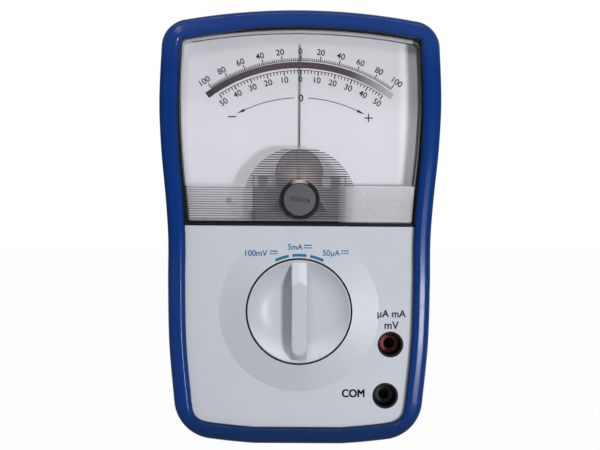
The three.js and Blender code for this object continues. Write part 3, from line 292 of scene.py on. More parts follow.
def collared(name, colour):
    """Nickel whose front end is sheathed in coloured plastic: everything in front of a depth is plastic."""
    made = metal(name, (58, 54, 50), (76, 72, 66), 0.35)
    in_front = axes_of(made)[1] < sheath_end
    plated(made, in_front, colour)
    (1 - in_front).feed(shader_of(made).inputs["Metallic"])
    return made


for plastic, low_tone, high_tone, gleam, nodes in (
        ("liner_black", (10, 10, 12), (16, 16, 19), 0.12, ("plus_socket_liner", "com_socket_liner")),
        ("tube_red", (150, 38, 58), (172, 48, 68), 0.25, ("plus_socket_insulator",)),
        ("tube_black", (24, 25, 28), (34, 35, 39), 0.25, ("com_socket_insulator",))):
    dress(moulded(plastic, low_tone, high_tone, 0.4, specular=gleam, grain=1500.0, height=0.01 * mm), *nodes)
dress(collared("contact_red", (128, 34, 50)), "plus_socket_contact")
dress(collared("contact_black", (22, 22, 25)), "com_socket_contact")

# The moving-coil movement: a plated steel yoke round a magnet core, with bridges of the same steel, brass
# jewel screws and lever, two bronze hairsprings, and a coil of enamelled copper wire on an aluminium former.
# The yoke's two arms are dull and it is bright beside them; a pale pink painted glint lies round the coil.
arm_place = 12.75 * mm
arm_fade = (1.3 * mm, 2.1 * mm)
middle_plate = 8.1 * mm
middle_fade = (11.5 * mm, 7 * mm)
shoulder_fade = (88.2 * mm, 89.6 * mm)
coil_glint_height = 91 * mm
coil_glint_fade = (7 * mm, 2 * mm)


def faded(value, clear, full, share=1.0):
    """A share where a value is at one end of a range, which fades evenly to nothing at the other end."""
    fade = value.tree.nodes.new("ShaderNodeMapRange")
    for label, number in (("From Min", clear), ("From Max", full), ("To Max", share)):
        fade.inputs[label].default_value = number
    value.feed(fade.inputs["Value"])
    return Measure(value.tree, fade.outputs["Result"])


yoke_grey = moulded("yoke_grey", (122, 118, 128), (136, 132, 143), 0.5, 0.1, specular=0.2, grain=2200.0,
                    height=0.01 * mm)
yoke_x, _, yoke_z = axes_of(yoke_grey)
from_middle = abs(yoke_x)
from_coil = radius_of(yoke_x, yoke_z - coil_glint_height)
beside_arms = (from_middle > middle_plate) * faded(abs(from_middle - arm_place), *arm_fade)
plated(yoke_grey, faded(from_middle, *middle_fade, 0.6), (146, 132, 136))
# Painted glint: a pale pink patch round the coil.
plated(yoke_grey, faded(from_coil, *coil_glint_fade, 0.95), (226, 202, 198))
plated(yoke_grey, beside_arms * faded(yoke_z, *shoulder_fade), (204, 202, 210))
coil_copper = moulded("coil_copper", (142, 74, 42), (178, 98, 58), 0.3, 1.0, drift=800.0)
wires = patterned(coil_copper, "ShaderNodeTexWave", {"Scale": 1600})
wires.socket.node.bands_direction = "Z"
wire_bump = coil_copper.node_tree.nodes.new("ShaderNodeBump")
wire_bump.inputs["Distance"].default_value = 0.04 * mm
wires.feed(wire_bump.inputs["Height"])
coil_copper.node_tree.links.new(wire_bump.outputs["Normal"], shader_of(coil_copper).inputs["Normal"])
dress(yoke_grey, "movement_yoke")
dress(coil_copper, "coil_winding")
dress(moulded("magnet_grey", (84, 84, 88), (104, 104, 108), 0.4, 1.0, grain=3000.0), "core_magnet")
dress(moulded("bridge_grey", (104, 100, 109), (118, 113, 123), 0.5, 0.1, grain=3000.0),
      "front_bridge", "rear_bridge", "core_bridge")
dress(metal("dull_brass", (84, 70, 52), (104, 88, 64), 0.45, 0.5, drift=600.0),
      "front_jewel_screw", "rear_jewel_screw", "zero_lever")
dress(metal("former_metal", (182, 184, 188), (202, 204, 208), 0.32), "coil_former")
dress(bronze, "front_hairspring", "rear_hairspring")
dress(screw_steel, "movement_screw_1", "movement_screw_2")

# The dial: a flat plate of aluminium, painted matt white and printed in black, held by two small screws.
# Its two scales run either side of a strip of mirror, which shows when the eye is square to the pointer.
# The paint is made a little whiter near its right edge, as painted light against the shade of the holster's
# lip.
dial_low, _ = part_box("dial_plate")
needle_low, needle_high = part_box("coil_former")
pivot_height = (needle_low.z + needle_high.z) / 2
painted_light_edge = (34 * mm, 38.5 * mm)
ink_lift = 0.03 * mm
dial_ink = moulded("dial_ink", (8, 8, 12), (18, 18, 23), 0.6, specular=0.1, height=0.0)
dial_white = moulded("dial_white", (214, 212, 220), (222, 220, 228), 0.55, grain=4000.0,
                     height=0.004 * mm, drift=30.0)
# Painted light: the paint whitens towards the right edge, against the lip's shadow.
plated(dial_white, faded(axes_of(dial_white)[0], *painted_light_edge), (252, 252, 254))
dress(dial_white, "dial_plate")
dress(screw_steel, "dial_screw_1", "dial_screw_2")


def shown(name, mesh, made):
    """An object at the origin that shows a mesh in a finish."""
    mesh.materials.append(made)
    piece = bpy.data.objects.new(name, mesh)
    bpy.context.scene.collection.objects.link(piece)
    return piece


def mesh_piece(name, points, faces, made, body):
    """A piece from arrays of points and faces, riding on a body, with its finish."""
    mesh = bpy.data.meshes.new(name)
    mesh.from_pydata(points.tolist(), [], faces.tolist())
    piece = shown(name, mesh, made)
    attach(piece, body)


def lettering(text, height, weight):
    """Flat letters as (x, up) points and triangles, centred on zero. They are scaled so that a figure is
    as high as asked, and thickened by a weight all round."""
    def shape_of(words):
        curve = bpy.data.curves.new("words", "FONT")
        curve.body = words
        curve.align_x = "CENTER"
        curve.offset = weight
        holder = bpy.data.objects.new("words", curve)
        bpy.context.scene.collection.objects.link(holder)
        bpy.context.view_layer.update()
        flat = bpy.data.meshes.new_from_object(holder.evaluated_get(bpy.context.evaluated_depsgraph_get()))
        points = np.empty(len(flat.vertices) * 3)
        flat.vertices.foreach_get("co", points)
        flat.calc_loop_triangles()
        faces = np.empty(len(flat.loop_triangles) * 3, int)
        flat.loop_triangles.foreach_get("vertices", faces)
        bpy.data.objects.remove(holder)
        bpy.data.curves.remove(curve)
        bpy.data.meshes.remove(flat)
        return points.reshape(-1, 3)[:, :2], faces.reshape(-1, 3)

    measure = np.ptp(shape_of("0")[0][:, 1])
    points, faces = shape_of(text)
    points = points * height / measure
    return points - [0, height / 2], faces


def moved(shape, x, up):
    """A flat shape moved across and up."""
    return shape[0] + [x, up], shape[1]


def joined(shapes):
    """Many flat shapes as one: their points one after another, and their triangles counted on in step."""
    counts = np.cumsum([0] + [len(points) for points, _ in shapes])
    faces = np.concatenate([faces + start for (_, faces), start in zip(shapes, counts)])
    return np.concatenate([points for points, _ in shapes]), faces


def strokes(starts, ends, width):
    """Straight strokes between pairs of points: each is a quad, half the width to either side of its line,
    and is given as two triangles."""
    starts, ends = np.atleast_2d(starts), np.atleast_2d(ends)
    along = ends - starts
    across = np.stack([-along[:, 1], along[:, 0]], 1) / np.hypot(*along.T)[:, None] * width / 2
    points = np.stack([starts - across, ends - across, ends + across, starts + across], 1).reshape(-1, 2)
    first = np.arange(len(starts))[:, None] * 4
    return points, np.concatenate([first + [0, 1, 2], first + [0, 2, 3]])


def rays(angles):
    """Points one away from zero, at angles clockwise from straight up."""
    return np.stack([np.sin(angles), np.cos(angles)], 1)


def swept(radius, angles, width):
    """A line round an arc about zero, as short strokes end to end."""
    line = radius * rays(angles)
    return strokes(line[:-1], line[1:], width)


def ticks(radius, angles, length, width):
    """Radial strokes that run from a radius outwards, or inwards where the length is negative."""
    return strokes(rays(angles) * radius, rays(angles) * (radius + length), width)


def set_round(shape, radius, angle):
    """A shape moved out to a radius, and turned so that its foot points back to the centre."""
    x, up = moved(shape, 0, radius)[0].T
    turned = [x * math.cos(angle) + up * math.sin(angle), up * math.cos(angle) - x * math.sin(angle)]
    return np.stack(turned, 1), shape[1]


def scale(full, radius, swing, figure_radius, figure_swing, fine, long):
    """One scale from minus its full value to plus it, as a list of shapes: figures at eleven long ticks, a
    hairline round its arc, a fine tick at every second unit, and the long ticks. A tick is a length and a
    width, and figures stand a little to the left of their ticks."""
    hair = 0.22 * mm
    figure_lag = math.radians(0.3)
    marked = np.linspace(-full, full, 11)
    figures = [set_round(lettering(f"{abs(value):.0f}", 2.15 * mm, 0.016), figure_radius,
                         value / full * figure_swing - figure_lag) for value in marked]
    return [*figures, swept(radius, np.linspace(-swing, swing, 121), hair),
            ticks(radius, np.arange(-full, full + 1, 2) / full * swing, *fine),
            ticks(radius, marked / full * swing, *long)]


def arrow():
    """The arrow under the scales: a zero, and to each side of it a thin arc with a solid head, whose point
    lies one length further round than its foot."""
    radius, drop, line = 46.4 * mm, 4.1 * mm, 0.26 * mm
    head_length, head_half = 3.0 * mm, 0.5 * mm
    head_turn = math.radians(25.2)
    arc = np.radians(np.linspace(2.9, 26.3, 40))
    shapes = [moved(lettering("0", 2.5 * mm, 0.026), 0, radius)]
    for way in (1, -1):
        head = np.array([[0, -head_half], [0, head_half], [way * head_length, 0]]), np.array([[0, 1, 2]])
        shapes += [swept(radius, way * arc, line), set_round(head, radius, way * head_turn)]
    return moved(joined(shapes), 0, -drop)


inner_swing = math.radians(33.4)
sign_line = 0.4 * mm
minus_place, minus_half = (-24.1 * mm, 35.5 * mm), 1.4 * mm
plus_place, plus_half = (23.7 * mm, 35.4 * mm), 1.5 * mm
scale_points, scale_faces = joined([
    *scale(100, 55.3 * mm, math.radians(34.6), figure_radius=58.7 * mm, figure_swing=math.radians(35.1),
           fine=(0.9 * mm, 0.27 * mm), long=(1.9 * mm, 0.36 * mm)),
    *scale(50, 51.9 * mm, inner_swing, figure_radius=48.9 * mm, figure_swing=inner_swing,
           fine=(-1.1 * mm, 0.32 * mm), long=(-1.65 * mm, 0.4 * mm)),
    arrow(),
    moved(strokes([-minus_half, 0], [minus_half, 0], sign_line), *minus_place),
    moved(strokes([[-plus_half, 0], [0, -plus_half]], [[plus_half, 0], [0, plus_half]], sign_line),
          *plus_place),
])
print_shift = 0.4 * mm
scale_depth = np.full(len(scale_points), dial_low.y - ink_lift)
scale_place = np.stack([scale_points[:, 0] + print_shift, scale_depth, scale_points[:, 1] + pivot_height], 1)
mesh_piece("dial_scales", scale_place, scale_faces, dial_ink, "housing")

# The mirror strip: silvered plastic film behind the pointer. Its colour is a painted reflection of the dark
# room to its left and the lit side to its right, so its tone runs from near black to pale grey along the
# scale.
mirror_half = 33 * mm
mirror_film = moulded("mirror_film", (120, 116, 118), (140, 136, 138), 0.08, 1.0, height=0.002 * mm,
                      worn=0.05)
painted_reflection_ramp = mirror_film.node_tree.nodes.new("ShaderNodeValToRGB")
tones = painted_reflection_ramp.color_ramp.elements
tones[0].color, tones[1].color = srgb(54, 50, 58), srgb(178, 177, 178)
for share, tone in ((0.3, (78, 66, 70)), (0.5, (72, 60, 62)), (0.76, (70, 62, 66)), (0.87, (136, 134, 136))):
    tones.new(share).color = srgb(*tone)
faded(axes_of(mirror_film)[0], -mirror_half, mirror_half).feed(painted_reflection_ramp.inputs["Fac"])
mirror_film.node_tree.links.new(painted_reflection_ramp.outputs["Color"], shader_of(mirror_film).inputs["Base Color"])
dress(mirror_film, "mirror_strip")

# The pointer: a blade of thin aluminium strip on edge, with balance weights at its root. It is painted matt
# black as far as it shows over the dial, and left bare under the window's dome.
bare_fade = (26.6 * mm, 26 * mm)


def distance_from(made, centre):
    """How far a place on the piece lies from a point."""
    tree = made.node_tree
    place, apart = tree.nodes.new("ShaderNodeTexCoord"), tree.nodes.new("ShaderNodeVectorMath")
    apart.operation = "DISTANCE"
    apart.inputs[1].default_value = centre
    tree.links.new(place.outputs["Object"], apart.inputs[0])
    return Measure(tree, apart.outputs["Value"])


pointer_paint = moulded("pointer_paint", (20, 20, 22), (32, 32, 35), 0.5, grain=4000.0, height=0.004 * mm)
from_pivot = distance_from(pointer_paint, (0, (needle_low.y + needle_high.y) / 2, pivot_height))
plated(pointer_paint, faded(from_pivot, *bare_fade), (150, 146, 150))
dress(pointer_paint, "pointer")

# The window: one clear acrylic cover, injection moulded and seated in its frame. Low in its middle a dome and
# a band of fine grooves veil the movement. Handling has scuffed the right part of the band.
pane_low, pane_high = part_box("window")
dome_height = 83.0 * mm
dome_reach = 19.8 * mm
band_top = 89.2 * mm
groove_floor = 0.05 * mm
groove_mouth = 0.6 * mm
scuff_fade = (13 * mm, 20 * mm)
clear_acrylic = moulded("clear_acrylic", (225, 228, 232), (235, 238, 242), 0.06, height=0.0, worn=0.06)
acrylic_tree = clear_acrylic.node_tree
gloss = acrylic_tree.nodes.new("ShaderNodeFresnel")
side_seen = acrylic_tree.nodes.new("ShaderNodeNewGeometry")
gloss.inputs["IOR"].default_value = 1.49
pane_x, pane_y, pane_z = axes_of(clear_acrylic)
pane_facing = axes_of(clear_acrylic, "Normal")[1]
in_dome = radius_of(pane_x, pane_z - dome_height) < dome_reach
in_band = pane_z < band_top
veiled = in_dome | in_band
groove = (pane_y > pane_low.y + groove_floor) * (pane_y < pane_low.y + groove_mouth) * veiled
specks = faded(patterned(clear_acrylic, "ShaderNodeTexNoise", {"Scale": 1500, "Detail": 1}), 0.6, 0.72)
scuffed = faded(pane_x, *scuff_fade) * in_band
veil = veiled * 0.07 + scuffed * (specks * 0.32 + 0.42)
lines = groove * (in_dome * 0.44 + 0.5 - scuffed * 0.26)
front_side = 0.7 - Measure(acrylic_tree, side_seen.outputs["Backfacing"]) * 0.7
shine = Measure(acrylic_tree, gloss.outputs["Fac"]) * front_side
rim_face = 1 - abs(pane_facing)
(veil + lines + shine | rim_face * 0.95).feed(shader_of(clear_acrylic).inputs["Alpha"])
# Painted shade: the grooves are painted dark grey, standing in for the dark that they show by refraction.
plated(clear_acrylic, groove * (1 - scuffed * 0.62), (34, 32, 41))
dress(clear_acrylic, "window")

# The window frame: a black ABS moulding round the opening, between the case and the dial. Its ledge behind
# the cover is painted pale, as a painted highlight of the cover's lit edge, which shows as a thin light edge
# over the top and down the left side.
lit_edge_turn = 122 * mm
lit_edge_left = -41.5 * mm
lit_edge_right = 39 * mm
ledge_left = -38 * mm
lit_edge_bow = 1.8
frame_black = moulded("frame_black", (14, 14, 18), (22, 22, 27), 0.34, specular=0.1, grain=3000.0)
frame_x, frame_y, frame_z = axes_of(frame_black)
frame_facing = axes_of(frame_black, "Normal")[1]
above_turn = frame_z - lit_edge_turn
on_ledge = (frame_y > pane_high.y - 0.2 * mm) * (frame_z > band_top) * (
    (frame_facing < -0.7) | (frame_x < ledge_left))
inside_edge = (frame_x > above_turn * above_turn * lit_edge_bow + lit_edge_left) * (frame_x < lit_edge_right)
# Painted highlight: the ledge inside the opening is pale, for the cover's lit edge.
plated(frame_black, on_ledge * inside_edge, (186, 184, 190))
dress(frame_black, "window_frame")

# The zero adjuster: a grey slotted disc of moulded plastic that turns in a black bush in the window. The bush
# has a painted glint at its crown, and the disc's slot is painted dark, as painted shade.
disc_low, disc_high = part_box("zero_adjuster")
crown_glint_fade = (3.4 * mm, 0.8 * mm)
slot_reach = 3.9 * mm
slot_face = disc_low.y + 0.4 * mm
bush_black = moulded("bush_black", (14, 14, 20), (22, 22, 28), 0.25, specular=0.15, grain=3000.0)
from_crown = distance_from(bush_black, (0, disc_low.y, disc_high.z))
# Painted glint: the bush's crown is pale.
plated(bush_black, faded(from_crown, *crown_glint_fade, 0.8), (206, 186, 184))
dress(bush_black, "adjuster_bush")
disc_grey = moulded("disc_grey", (48, 51, 58), (60, 63, 71), 0.4, grain=2600.0, height=0.015 * mm)
# Painted shade: the disc's slot is darkened.
paint_gap_shade(disc_grey, (disc_low.z + disc_high.z) / 2, -1 * mm, slot_reach, slot_face, 0.6)
dress(disc_grey, "zero_adjuster")

# The panel print: blue marks for the three places of the knob with their ranges, and the names of the
# sockets in black. It is screen-printed ink that follows the shallow cone round the knob.
cone_reach = 27.8 * mm
cone_foot = 18.5 * mm
cone_rise = 2.2 * mm
panel_face = panel_low.y + cone_rise
blue_ink = moulded("blue_ink", (26, 98, 142), (34, 110, 154), 0.5, specular=0.15, height=0.0)
black_ink = moulded("black_ink", (24, 26, 34), (36, 38, 46), 0.5, specular=0.15, height=0.0)


def on_panel(name, shapes, ink):
    """Flat shapes laid just over the panel. Within the cone's radius they rise with it, in proportion to how
    far in they are."""
    points, faces = joined(shapes)
    out = np.hypot(points[:, 0], points[:, 1] - knob_centre)
    rise = np.clip((cone_reach - out) / (cone_reach - cone_foot), 0, 1) * cone_rise
    place = np.stack([points[:, 0], panel_face - rise - ink_lift, points[:, 1]], 1)
    mesh_piece(name, place, faces, ink, "housing")


def direct_sign(x, up):
    """The sign for direct current: a bar over three dashes."""
    left = np.array([[-1.3, 0.45], [-1.3, -0.45], [-0.35, -0.45], [0.6, -0.45]]) * mm + [x, up]
    return strokes(left, left + np.array([[2.6, 0], [0.7, 0], [0.7, 0], [0.7, 0]]) * mm, 0.4 * mm)


mark_radius, mark_width = 19.5 * mm, 0.95 * mm
mark_arc = np.linspace(-1, 1, 12) * math.radians(7.2)
range_print = [moved(swept(mark_radius, mark_arc + place, mark_width), 0, knob_centre)
               for place in np.radians([-18, 0, 18])]
for text, height, text_x, text_up, sign_x, sign_up in (
        ("100mV", 2.1, -15.2, 65.9, -8.9, 66.1),
        ("5mA", 2.0, -1.5, 68.1, 2.9, 68.2),
        ("50µA", 2.0, 11.0, 66.1, 15.8, 66.3)):
    range_print += [moved(lettering(text, height * mm, 0.02), text_x * mm, text_up * mm),
                    direct_sign(sign_x * mm, sign_up * mm)]
on_panel("range_marks", range_print, blue_ink)

# The common socket's name is bolder, so it is laid down four times, a little apart.
common, common_face = lettering("COM", 2.65 * mm, 0.0)
socket_print = [moved((common * [0.92, 1], common_face), x * mm, up * mm)
                for x in (18.95, 19.2) for up in (17.35, 17.5)]
for text, height, x, up in (("µA", 2.6, 29.1, 45.2), ("mA", 2.6, 34.6, 45.2), ("mV", 2.75, 32.1, 41.2)):
    socket_print.append(moved(lettering(text, height * mm, 0.024), x * mm, up * mm))
on_panel("socket_labels", socket_print, black_ink)

# The range knob: the same grey ABS as the case, a shallow round dish with a wing grip across it. The grip has
# a flat top, a rounded foot, and a head of two facets that fall to a point at the rim. What faces upwards is
# painted a little paler, as painted light from above, and a dark ring of painted shade lies at the rim's
# edge.
knob_radius = 18.0 * mm
dish_radius = 17.5 * mm
dish_drop = 3.4 * mm
rim_face_y = -20.9 * mm
dish_back_y = -15.2 * mm
shaft_radius = 3.3 * mm
grip_height = 7.8 * mm
grip_half = 3.05 * mm
grip_tail = -17.0 * mm
grip_head = 17.4 * mm
grip_point = 17.5 * mm
grip_round = 0.45 * mm
rim_shade = (17.84 * mm, 18.4 * mm)
painted_top_light = (0.12, 0.45)
knob_plastic = moulded("knob_plastic", (183, 187, 195), (195, 199, 206), 0.3, specular=0.19, grain=3200.0,
                       height=0.005 * mm, drift=30.0)
# Painted light: faces that look upwards are paler.
plated(knob_plastic, faded(axes_of(knob_plastic, "Normal")[2], *painted_top_light, 0.55), (230, 233, 241))
# Painted shade: a dark ring at the rim's edge, in the gap round the knob.
paint_gap_shade(knob_plastic, knob_centre, *rim_shade, rim_face_y - 1 * mm)


def surface(name, grid, made, sharp=35, **marks):
    """A closed surface from a grid of points, rows by columns, whose columns close into a ring. Each cell is
    one quad. Points that fall together are merged, and edges over the sharp angle stay crisp. A mark is a
    value for each row, kept on the mesh as an attribute."""
    rows, columns = grid.shape[:2]
    near = np.arange(rows * columns).reshape(rows, columns)
    far = np.roll(near, -1, 1)
    quads = np.stack([near[:-1], far[:-1], far[1:], near[1:]], -1).reshape(-1, 4)
    mesh = bpy.data.meshes.new(name)
    mesh.from_pydata(grid.reshape(-1, 3).tolist(), [], quads.tolist())
    for label, values in marks.items():
        mesh.attributes.new(label, "FLOAT", "POINT").data.foreach_set("value", np.repeat(values, columns))
    work = bmesh.new()
    work.from_mesh(mesh)
    bmesh.ops.remove_doubles(work, verts=work.verts, dist=1e-7)
    bmesh.ops.recalc_face_normals(work, faces=work.faces)
    work.to_mesh(mesh)
    work.free()
    mesh.shade_smooth()
    mesh.set_sharp_from_angle(angle=math.radians(sharp))
    return shown(name, mesh, made)


def knob_dish():
    """A profile of radius and depth turned about the knob's axis. The dish falls from the rim by its depth
    times one less the 4.6th power of the share of its radius."""
    share = np.linspace(1, 0, 40)
    turn = np.linspace(0, math.pi / 2, 6)
    edge = 0.2 * mm
    rim = np.stack([knob_radius - edge * (1 - np.cos(turn)), rim_face_y + edge * (1 - np.sin(turn))], 1)
    dish = np.stack([dish_radius * share, rim_face_y + dish_drop * (1 - share**4.6)], 1)
    back = np.array([[0, knob_high.y], [shaft_radius, knob_high.y], [shaft_radius, dish_back_y],
                     [knob_radius, dish_back_y]])
    profile = np.concatenate([back, rim, dish])
    around = np.linspace(0, 2 * math.pi, 192, endpoint=False)
    return np.stack([profile[:, :1] * np.cos(around), np.repeat(profile[:, 1:], len(around), 1),
                     profile[:, :1] * np.sin(around) + knob_centre], -1)


def softer(first, second):
    """The lower of two heights, with the crease between them rounded over a blend."""
    blend = 0.12 * mm
    apart = np.clip(0.5 + 0.5 * (second - first) / blend, 0, 1)
    return second * (1 - apart) + first * apart - blend * apart * (1 - apart)


def grip_top(x, up):
    """Height of the grip over its base: a flat top cut by two facets that fall from a peak towards the point,
    and by a cone round its foot."""
    peak, shoulder, low_point = 10.5 * mm, 8.7 * mm, 3.8 * mm
    foot_centre, foot_flat, foot_slope = -12.4 * mm, 2.5 * mm, 1.7
    run = (grip_point - peak) / (grip_height - low_point)
    lean = (peak - shoulder) / (2.6 * mm) / run
    roof = grip_height - (up - peak) / run - np.abs(x) * lean
    foot = np.maximum(np.hypot(x, np.minimum(up - foot_centre, 0)) - foot_flat, 0)
    return softer(softer(np.full_like(x, grip_height), roof), grip_height - foot * foot_slope)


def grip_grid():
    """Rings that run in from a rounded bar's outline. The first ones climb its walls with a little draft, the
    next turn over a quarter round, and the rest close in over the top to its middle line."""
    corner, run_in, draft = 0.5 * mm, 0.8 * mm, 0.28 * mm
    flat_half = grip_half - corner
    ends = np.linspace(0, math.pi / 2, 6)
    across = np.linspace(0, flat_half, 8)
    sides = np.linspace(grip_tail + run_in, grip_head - run_in, 60)
    x = np.concatenate([across[:-1], flat_half + corner * np.sin(ends[:-1]), np.full(60, grip_half),
                        flat_half + corner * np.cos(ends), across[-2::-1]])
    up = np.concatenate([np.full(7, grip_tail), grip_tail + corner * (1 - np.cos(ends[:-1])), sides,
                         grip_head - corner * (1 - np.sin(ends)), np.full(7, grip_head)])
    x, up = np.concatenate([x, -x[-2:0:-1]]), np.concatenate([up, up[-2:0:-1]])
    wall = np.linspace(0, 1, 7)
    turn = np.linspace(0, math.pi / 2, 7)[1:]
    over = np.linspace(0, 1, 9)[1:]
    shrink = np.concatenate([wall * draft, draft + grip_round * (1 - np.cos(turn)),
                             draft + grip_round + over * (grip_half - draft - grip_round)])[:, None]
    ring_x = x * np.clip(1 - shrink / grip_half, 0, 1)
    ring_up = up * (1 - shrink / ((grip_head - grip_tail) / 2) * 0.9)
    drop = np.concatenate([np.full(7, grip_round), grip_round * (1 - np.sin(turn)), np.zeros(8)])[:, None]
    height = grip_top(ring_x, ring_up) - drop
    height[:7] = (grip_top(x, up) - grip_round) * wall[:, None]
    return np.stack([ring_x, knob_low.y + grip_height - height, ring_up + knob_centre], -1)


grip_rings = grip_grid()
grip_sole = np.broadcast_to(np.array([0, grip_rings[0, 0, 1], knob_centre]), grip_rings[:1].shape)
for knob_part in (surface("knob_dish", knob_dish(), knob_plastic), surface(
        "knob_grip", np.concatenate([grip_sole, grip_rings]), knob_plastic, 50)):
    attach(knob_part, "range_switch")
    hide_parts("range_knob")

# The holster: one thick-walled boot of blue thermoplastic rubber, with a skin that is shinier at the top. Its
# foot and the tuck under its bead are painted darker, as painted shade. It is stretched over the closed
# meter, and the bead round its mouth holds the case.
# A shallow bay in its back, with a scoop for the thumb, takes the tilt stand.
boot_low, boot_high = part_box("holster")
stand_low, stand_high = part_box("tilt_stand")
back_plane = boot_high.y
lip_depth = boot_high.y - boot_low.y
boot_height = boot_high.z
boot_half = 48.86 * mm
lip_inset = 6.0 * mm
foot_inset = 5.7 * mm
crest_inset = 4.0 * mm
lip_thickness = 2.7 * mm
side_round = 2.6 * mm
back_round = 2.8 * mm
boot_wall = 2.4 * mm
boot_floor = 4.2 * mm
crown_radius = 228 * mm
foot_radius = 235 * mm
foot_half = 15 * mm
crown_corner = 9.6 * mm
foot_corner = 14.1 * mm
bay_depth = 2.9 * mm
bay_gap = 0.3 * mm
bay_halves = (19.3 * mm, 24.3 * mm)
bay_ends = (stand_low.z - bay_gap, stand_high.z + bay_gap)
thumb_radius = 7 * mm
side_heights = np.array([0, 0.1, 0.23, 0.37, 0.47, 0.56, 0.68, 0.79, 0.93, 1]) * boot_height
side_halves = np.array([0.849, 0.881, 0.918, 0.9295, 0.9305, 0.949, 0.985, 1, 0.984, 0.972]) * boot_half
boot_rubber = moulded("boot_rubber", (13, 49, 114), (18, 57, 126), 0.14, grain=2200.0, height=0.01 * mm,
                      drift=45.0)
foot_shade_fade = (13 * mm, 5 * mm)
low_gloss_fade = (72 * mm, 52 * mm)
top_gloss_fade = (130 * mm, 141 * mm)
boot_z = axes_of(boot_rubber)[2]
tuck = boot_rubber.node_tree.nodes.new("ShaderNodeAttribute")
tuck.attribute_name = "tuck"
# Painted shade: the foot is darker.
plated(boot_rubber, faded(boot_z, *foot_shade_fade, 0.6), (18, 38, 64))
# Painted shade: the tuck under the bead is dark.
plated(boot_rubber, Measure(boot_rubber.node_tree, tuck.outputs["Fac"]), (6, 9, 26))
polish = faded(boot_z, *low_gloss_fade, 0.05) + faded(boot_z, *top_gloss_fade, 0.12) + 0.016
polish.feed(shader_of(boot_rubber).inputs["Specular IOR Level"])


def side_half(height):
    """Half width at a height: a cubic Hermite curve through the stations, whose slopes are those between
    each station's neighbours."""
    last = len(side_heights) - 1
    before, after = np.maximum(np.arange(last + 1) - 1, 0), np.minimum(np.arange(last + 1) + 1, last)
    slope = (side_halves[after] - side_halves[before]) / (side_heights[after] - side_heights[before])
    i = np.clip(np.searchsorted(side_heights, height, side="right") - 1, 0, last - 1)
    run = side_heights[i + 1] - side_heights[i]
    t = np.clip((height - side_heights[i]) / run, 0, 1)
    rise = 3 * t**2 - 2 * t**3
    leave, arrive = (t**3 - 2 * t**2 + t) * slope[i], (t**3 - t**2) * slope[i + 1]
    return side_halves[i] * (1 - rise) + side_halves[i + 1] * rise + run * (leave + arrive)


def side_slope(height):
    """Growth of the half width with height, between two points a step away."""
    step = 0.1 * mm
    return (side_half(height + step) - side_half(height - step)) / (2 * step)


def corner_centre(radius, crown_centre, crown, way):
    """Centre of a corner's arc that touches the side and the crown. Each in turn is put right until both
    hold: x from the side's curve, and the height from the crown's circle."""
    height = boot_height if way > 0 else 0.0
    for _ in range(30):
        x = side_half(height) - radius * math.hypot(1, side_slope(height))
        height = crown_centre + way * math.sqrt((crown - radius) ** 2 - x**2)
    return x, height


def boot_outline():
    """Points and inward normals anticlockwise from the middle of the foot: a flat, the foot's arc, a corner,
    the side's curve, a corner and the crown's arc, and then their mirror image."""
    low_centre = math.sqrt(foot_radius**2 - foot_half**2)
    high_centre = boot_height - crown_radius
    low_x, low_z = corner_centre(foot_corner, low_centre, foot_radius, -1)
    high_x, high_z = corner_centre(crown_corner, high_centre, crown_radius, 1)
    low_angle = math.atan2(low_z - low_centre, low_x)
    high_angle = math.atan2(high_z - high_centre, high_x)
    low_turn = np.linspace(low_angle, math.atan(-side_slope(low_z)), 34)
    high_turn = np.linspace(math.atan(-side_slope(high_z)), high_angle, 34)
    foot_x = np.linspace(foot_half, foot_radius * math.cos(low_angle), 24)[:-1]
    crown_turn = np.linspace(high_angle, math.pi / 2, 40)[1:]
    side_z = np.linspace(low_z + foot_corner * math.sin(low_turn[-1]),
                         high_z + crown_corner * math.sin(high_turn[0]), 150)[1:-1]
    x = np.concatenate([np.linspace(0, foot_half, 14)[:-1], foot_x, low_x + foot_corner * np.cos(low_turn),
                        side_half(side_z), high_x + crown_corner * np.cos(high_turn),
                        crown_radius * np.cos(crown_turn)])
    z = np.concatenate([np.zeros(13), low_centre - np.sqrt(foot_radius**2 - foot_x**2),
                        low_z + foot_corner * np.sin(low_turn), side_z,
                        high_z + crown_corner * np.sin(high_turn),
                        high_centre + crown_radius * np.sin(crown_turn)])
    points = np.stack([np.concatenate([x, -x[-2:0:-1]]), np.concatenate([z, z[-2:0:-1]])], 1)
    along = np.roll(points, -1, 0) - np.roll(points, 1, 0)
    along = along / np.hypot(*along.T)[:, None]
    return points, np.stack([-along[:, 1], along[:, 0]], 1)


def bay_edge(points):
    """The bay's edge in the directions of the outline's points, seen from the bay's middle: the nearest of
    the four sides of its trapezium, or the thumb scoop's circle where the foot lies inside that."""
    middle = np.array([0, sum(bay_ends) / 2])
    ray = (points - middle) / np.hypot(*(points - middle).T)[:, None]
    lean = (bay_halves[1] - bay_halves[0]) / (bay_ends[1] - bay_ends[0])
    up = (bay_ends[1] - middle[1]) / np.maximum(ray[:, 1], 1e-9)
    down = (middle[1] - bay_ends[0]) / np.maximum(-ray[:, 1], 1e-9)
    side = sum(bay_halves) / 2 / np.maximum(np.abs(ray[:, 0]) - lean * ray[:, 1], 1e-9)
    edge = np.minimum(np.minimum(up, down), side)
    drop = middle[1] - bay_ends[0] - bay_gap
    along = -ray[:, 1] * drop
    inside = along**2 - drop**2 + thumb_radius**2
    scoop = np.where((inside > 0) & (along > 0), along + np.sqrt(np.maximum(inside, 0)), 0)
    return middle + ray * np.maximum(edge, scoop)[:, None]


